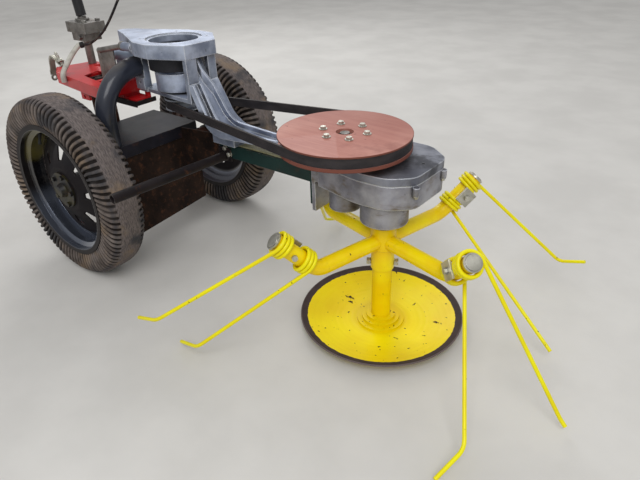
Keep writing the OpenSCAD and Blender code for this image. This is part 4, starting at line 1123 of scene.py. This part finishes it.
def strap(mesh):
    """A bent flat strap that widens at its end; returns its middle line"""
    path = smooth_path([at(x, LATCH_Y, z) for x, z in STRAP_LINE], STRAP_STEPS)
    rings = []
    for i, point in enumerate(path):
        half = STRAP_HALF if i < len(path) - STRAP_WIDE_RINGS else STRAP_WIDE_HALF
        over = heading(path, i).cross(LEFT) * STRAP_HALF_THICK
        rings.append([point + over * a + LEFT * half * b
                      for a, b in ((-1, -1), (1, -1), (1, 1), (-1, 1))])
    skin(mesh, rings, caps=True)
    return path


def eye(mesh, end, ahead):
    """A flat ring at the strap's end"""
    over = ahead.cross(LEFT)
    centre = end + ahead * EYE_AT
    corners = ((EYE_HOLE_R, -1), (EYE_R, -1), (EYE_R, 1), (EYE_HOLE_R, 1))
    skin(mesh, [[centre + spoke * r + over * h * STRAP_HALF_THICK for r, h in corners]
                for spoke in circle(ahead, LEFT, EYE_SIDES)], closed_along=True)


def rear_latch():
    """Stud and strap at the red frame's tail"""
    mesh = bmesh.new()
    stud(mesh)
    path = strap(mesh)
    eye(mesh, path[-1], (path[-1] - path[-2]).normalized())
    piece("rear_latch", mesh, "frame", ZINC)


# Places along x and z
BEAM_BOLTS = ((-548, 424), (-532, 408))
BEAM_HALF = 32


def beam_bolts():
    """Bolts through the beam where the end plate joins it"""
    mesh = bmesh.new()
    for x, z in BEAM_BOLTS:
        for side in (-1, 1):
            add_bolt(mesh, at(x, side * BEAM_HALF, z), LEFT * side, *BEAM_BOLT)
    piece("beam_bolts", mesh, "frame", ZINC)


VALVE_TURN = math.radians(118)
VALVE_R = 0.1865
VALVE_OUT = 0.018
VALVE_LEAN = 0.5
VALVE_PROFILE = [(0, 0.0075), (0.004, 0.0060), (0.014, 0.0042), (0.022, 0.0042), (0.0225, 0.0052),
                 (0.033, 0.0052), (0.034, 0.0042)]


def valve(side):
    """Tyre valve that stands in from the rim's well"""
    out = LEFT * SIDES[side]
    inward = Vector((-math.cos(VALVE_TURN), 0, -math.sin(VALVE_TURN)))
    foot = middle("rim_" + side) - inward * VALVE_R + out * VALVE_OUT
    mesh = bmesh.new()
    add_turned(mesh, foot, inward + out * VALVE_LEAN, VALVE_PROFILE, 16)
    piece("valve_" + side, mesh, "wheel_" + side, GRIP)


case_bosses()
chain()
rear_latch()
beam_bolts()
for wheel_side in SIDES:
    valve(wheel_side)


# Floor, light and world

FLOOR_REACH = 20
SKY_STRENGTH = 0.62
SKY_LOW = (0.55, 0.56, 0.58, 1)
SKY_HIGH = (1.0, 1.0, 1.0, 1)
SKY_HIGH_FROM = 0.75
# Columns: name, place, aim, size, watts
LIGHTS = [("key", (2.2, -2.6, 3.6), (0.1, 0, 0.3), 2.6, 90),
          ("fill", (-2.6, 2.4, 3.2), (0, 0, 0.3), 2.4, 60)]


def make_stage():
    """A wide, pale, slightly uneven floor"""
    f = Finish("pale_floor", 0.85)
    base = f.tones(f.noise(3, 4), 0.3, 0.7, colour(206, 204, 200), colour(216, 214, 210))
    f.bump(f.noise(150, 3), 0.001, 0.25)
    f.done(base)
    corners = [(x * FLOOR_REACH, y * FLOOR_REACH, 0)
               for x, y in ((-1, -1), (1, -1), (1, 1), (-1, 1))]
    data = bpy.data.meshes.new("floor")
    data.from_pydata(corners, [], [(0, 1, 2, 3)])
    data.materials.append(f.material)
    floor = show(bpy.data.objects.new("floor", data))


def area_light(name, place, aim, size, watts):
    """A square light, turned towards a place"""
    data = bpy.data.lights.new(name, "AREA")
    data.shape = "RECTANGLE"
    data.size = data.size_y = size
    data.energy = watts
    made = show(bpy.data.objects.new(name, data))
    made.location = place
    made.rotation_euler = (Vector(aim) - Vector(place)).to_track_quat("-Z", "Y").to_euler()


def make_sky():
    """A sky that brightens upwards"""
    world = bpy.data.worlds.new("studio")
    bpy.context.scene.world = world
    world.use_nodes = True
    tree = world.node_tree
    sky = tree.nodes["Background"]
    sky.inputs["Strength"].default_value = SKY_STRENGTH
    place = tree.nodes.new("ShaderNodeTexCoord")
    split = tree.nodes.new("ShaderNodeSeparateXYZ")
    ramp = tree.nodes.new("ShaderNodeValToRGB")
    tree.links.new(place.outputs["Generated"], split.inputs[0])
    tree.links.new(split.outputs[2], ramp.inputs[0])
    tree.links.new(ramp.outputs[0], sky.inputs["Color"])
    low, high = ramp.color_ramp.elements
    low.color = SKY_LOW
    high.color = SKY_HIGH
    high.position = SKY_HIGH_FROM


make_stage()
make_sky()
for light in LIGHTS:
    area_light(*light)
bpy.context.scene.view_settings.view_transform = "Standard"
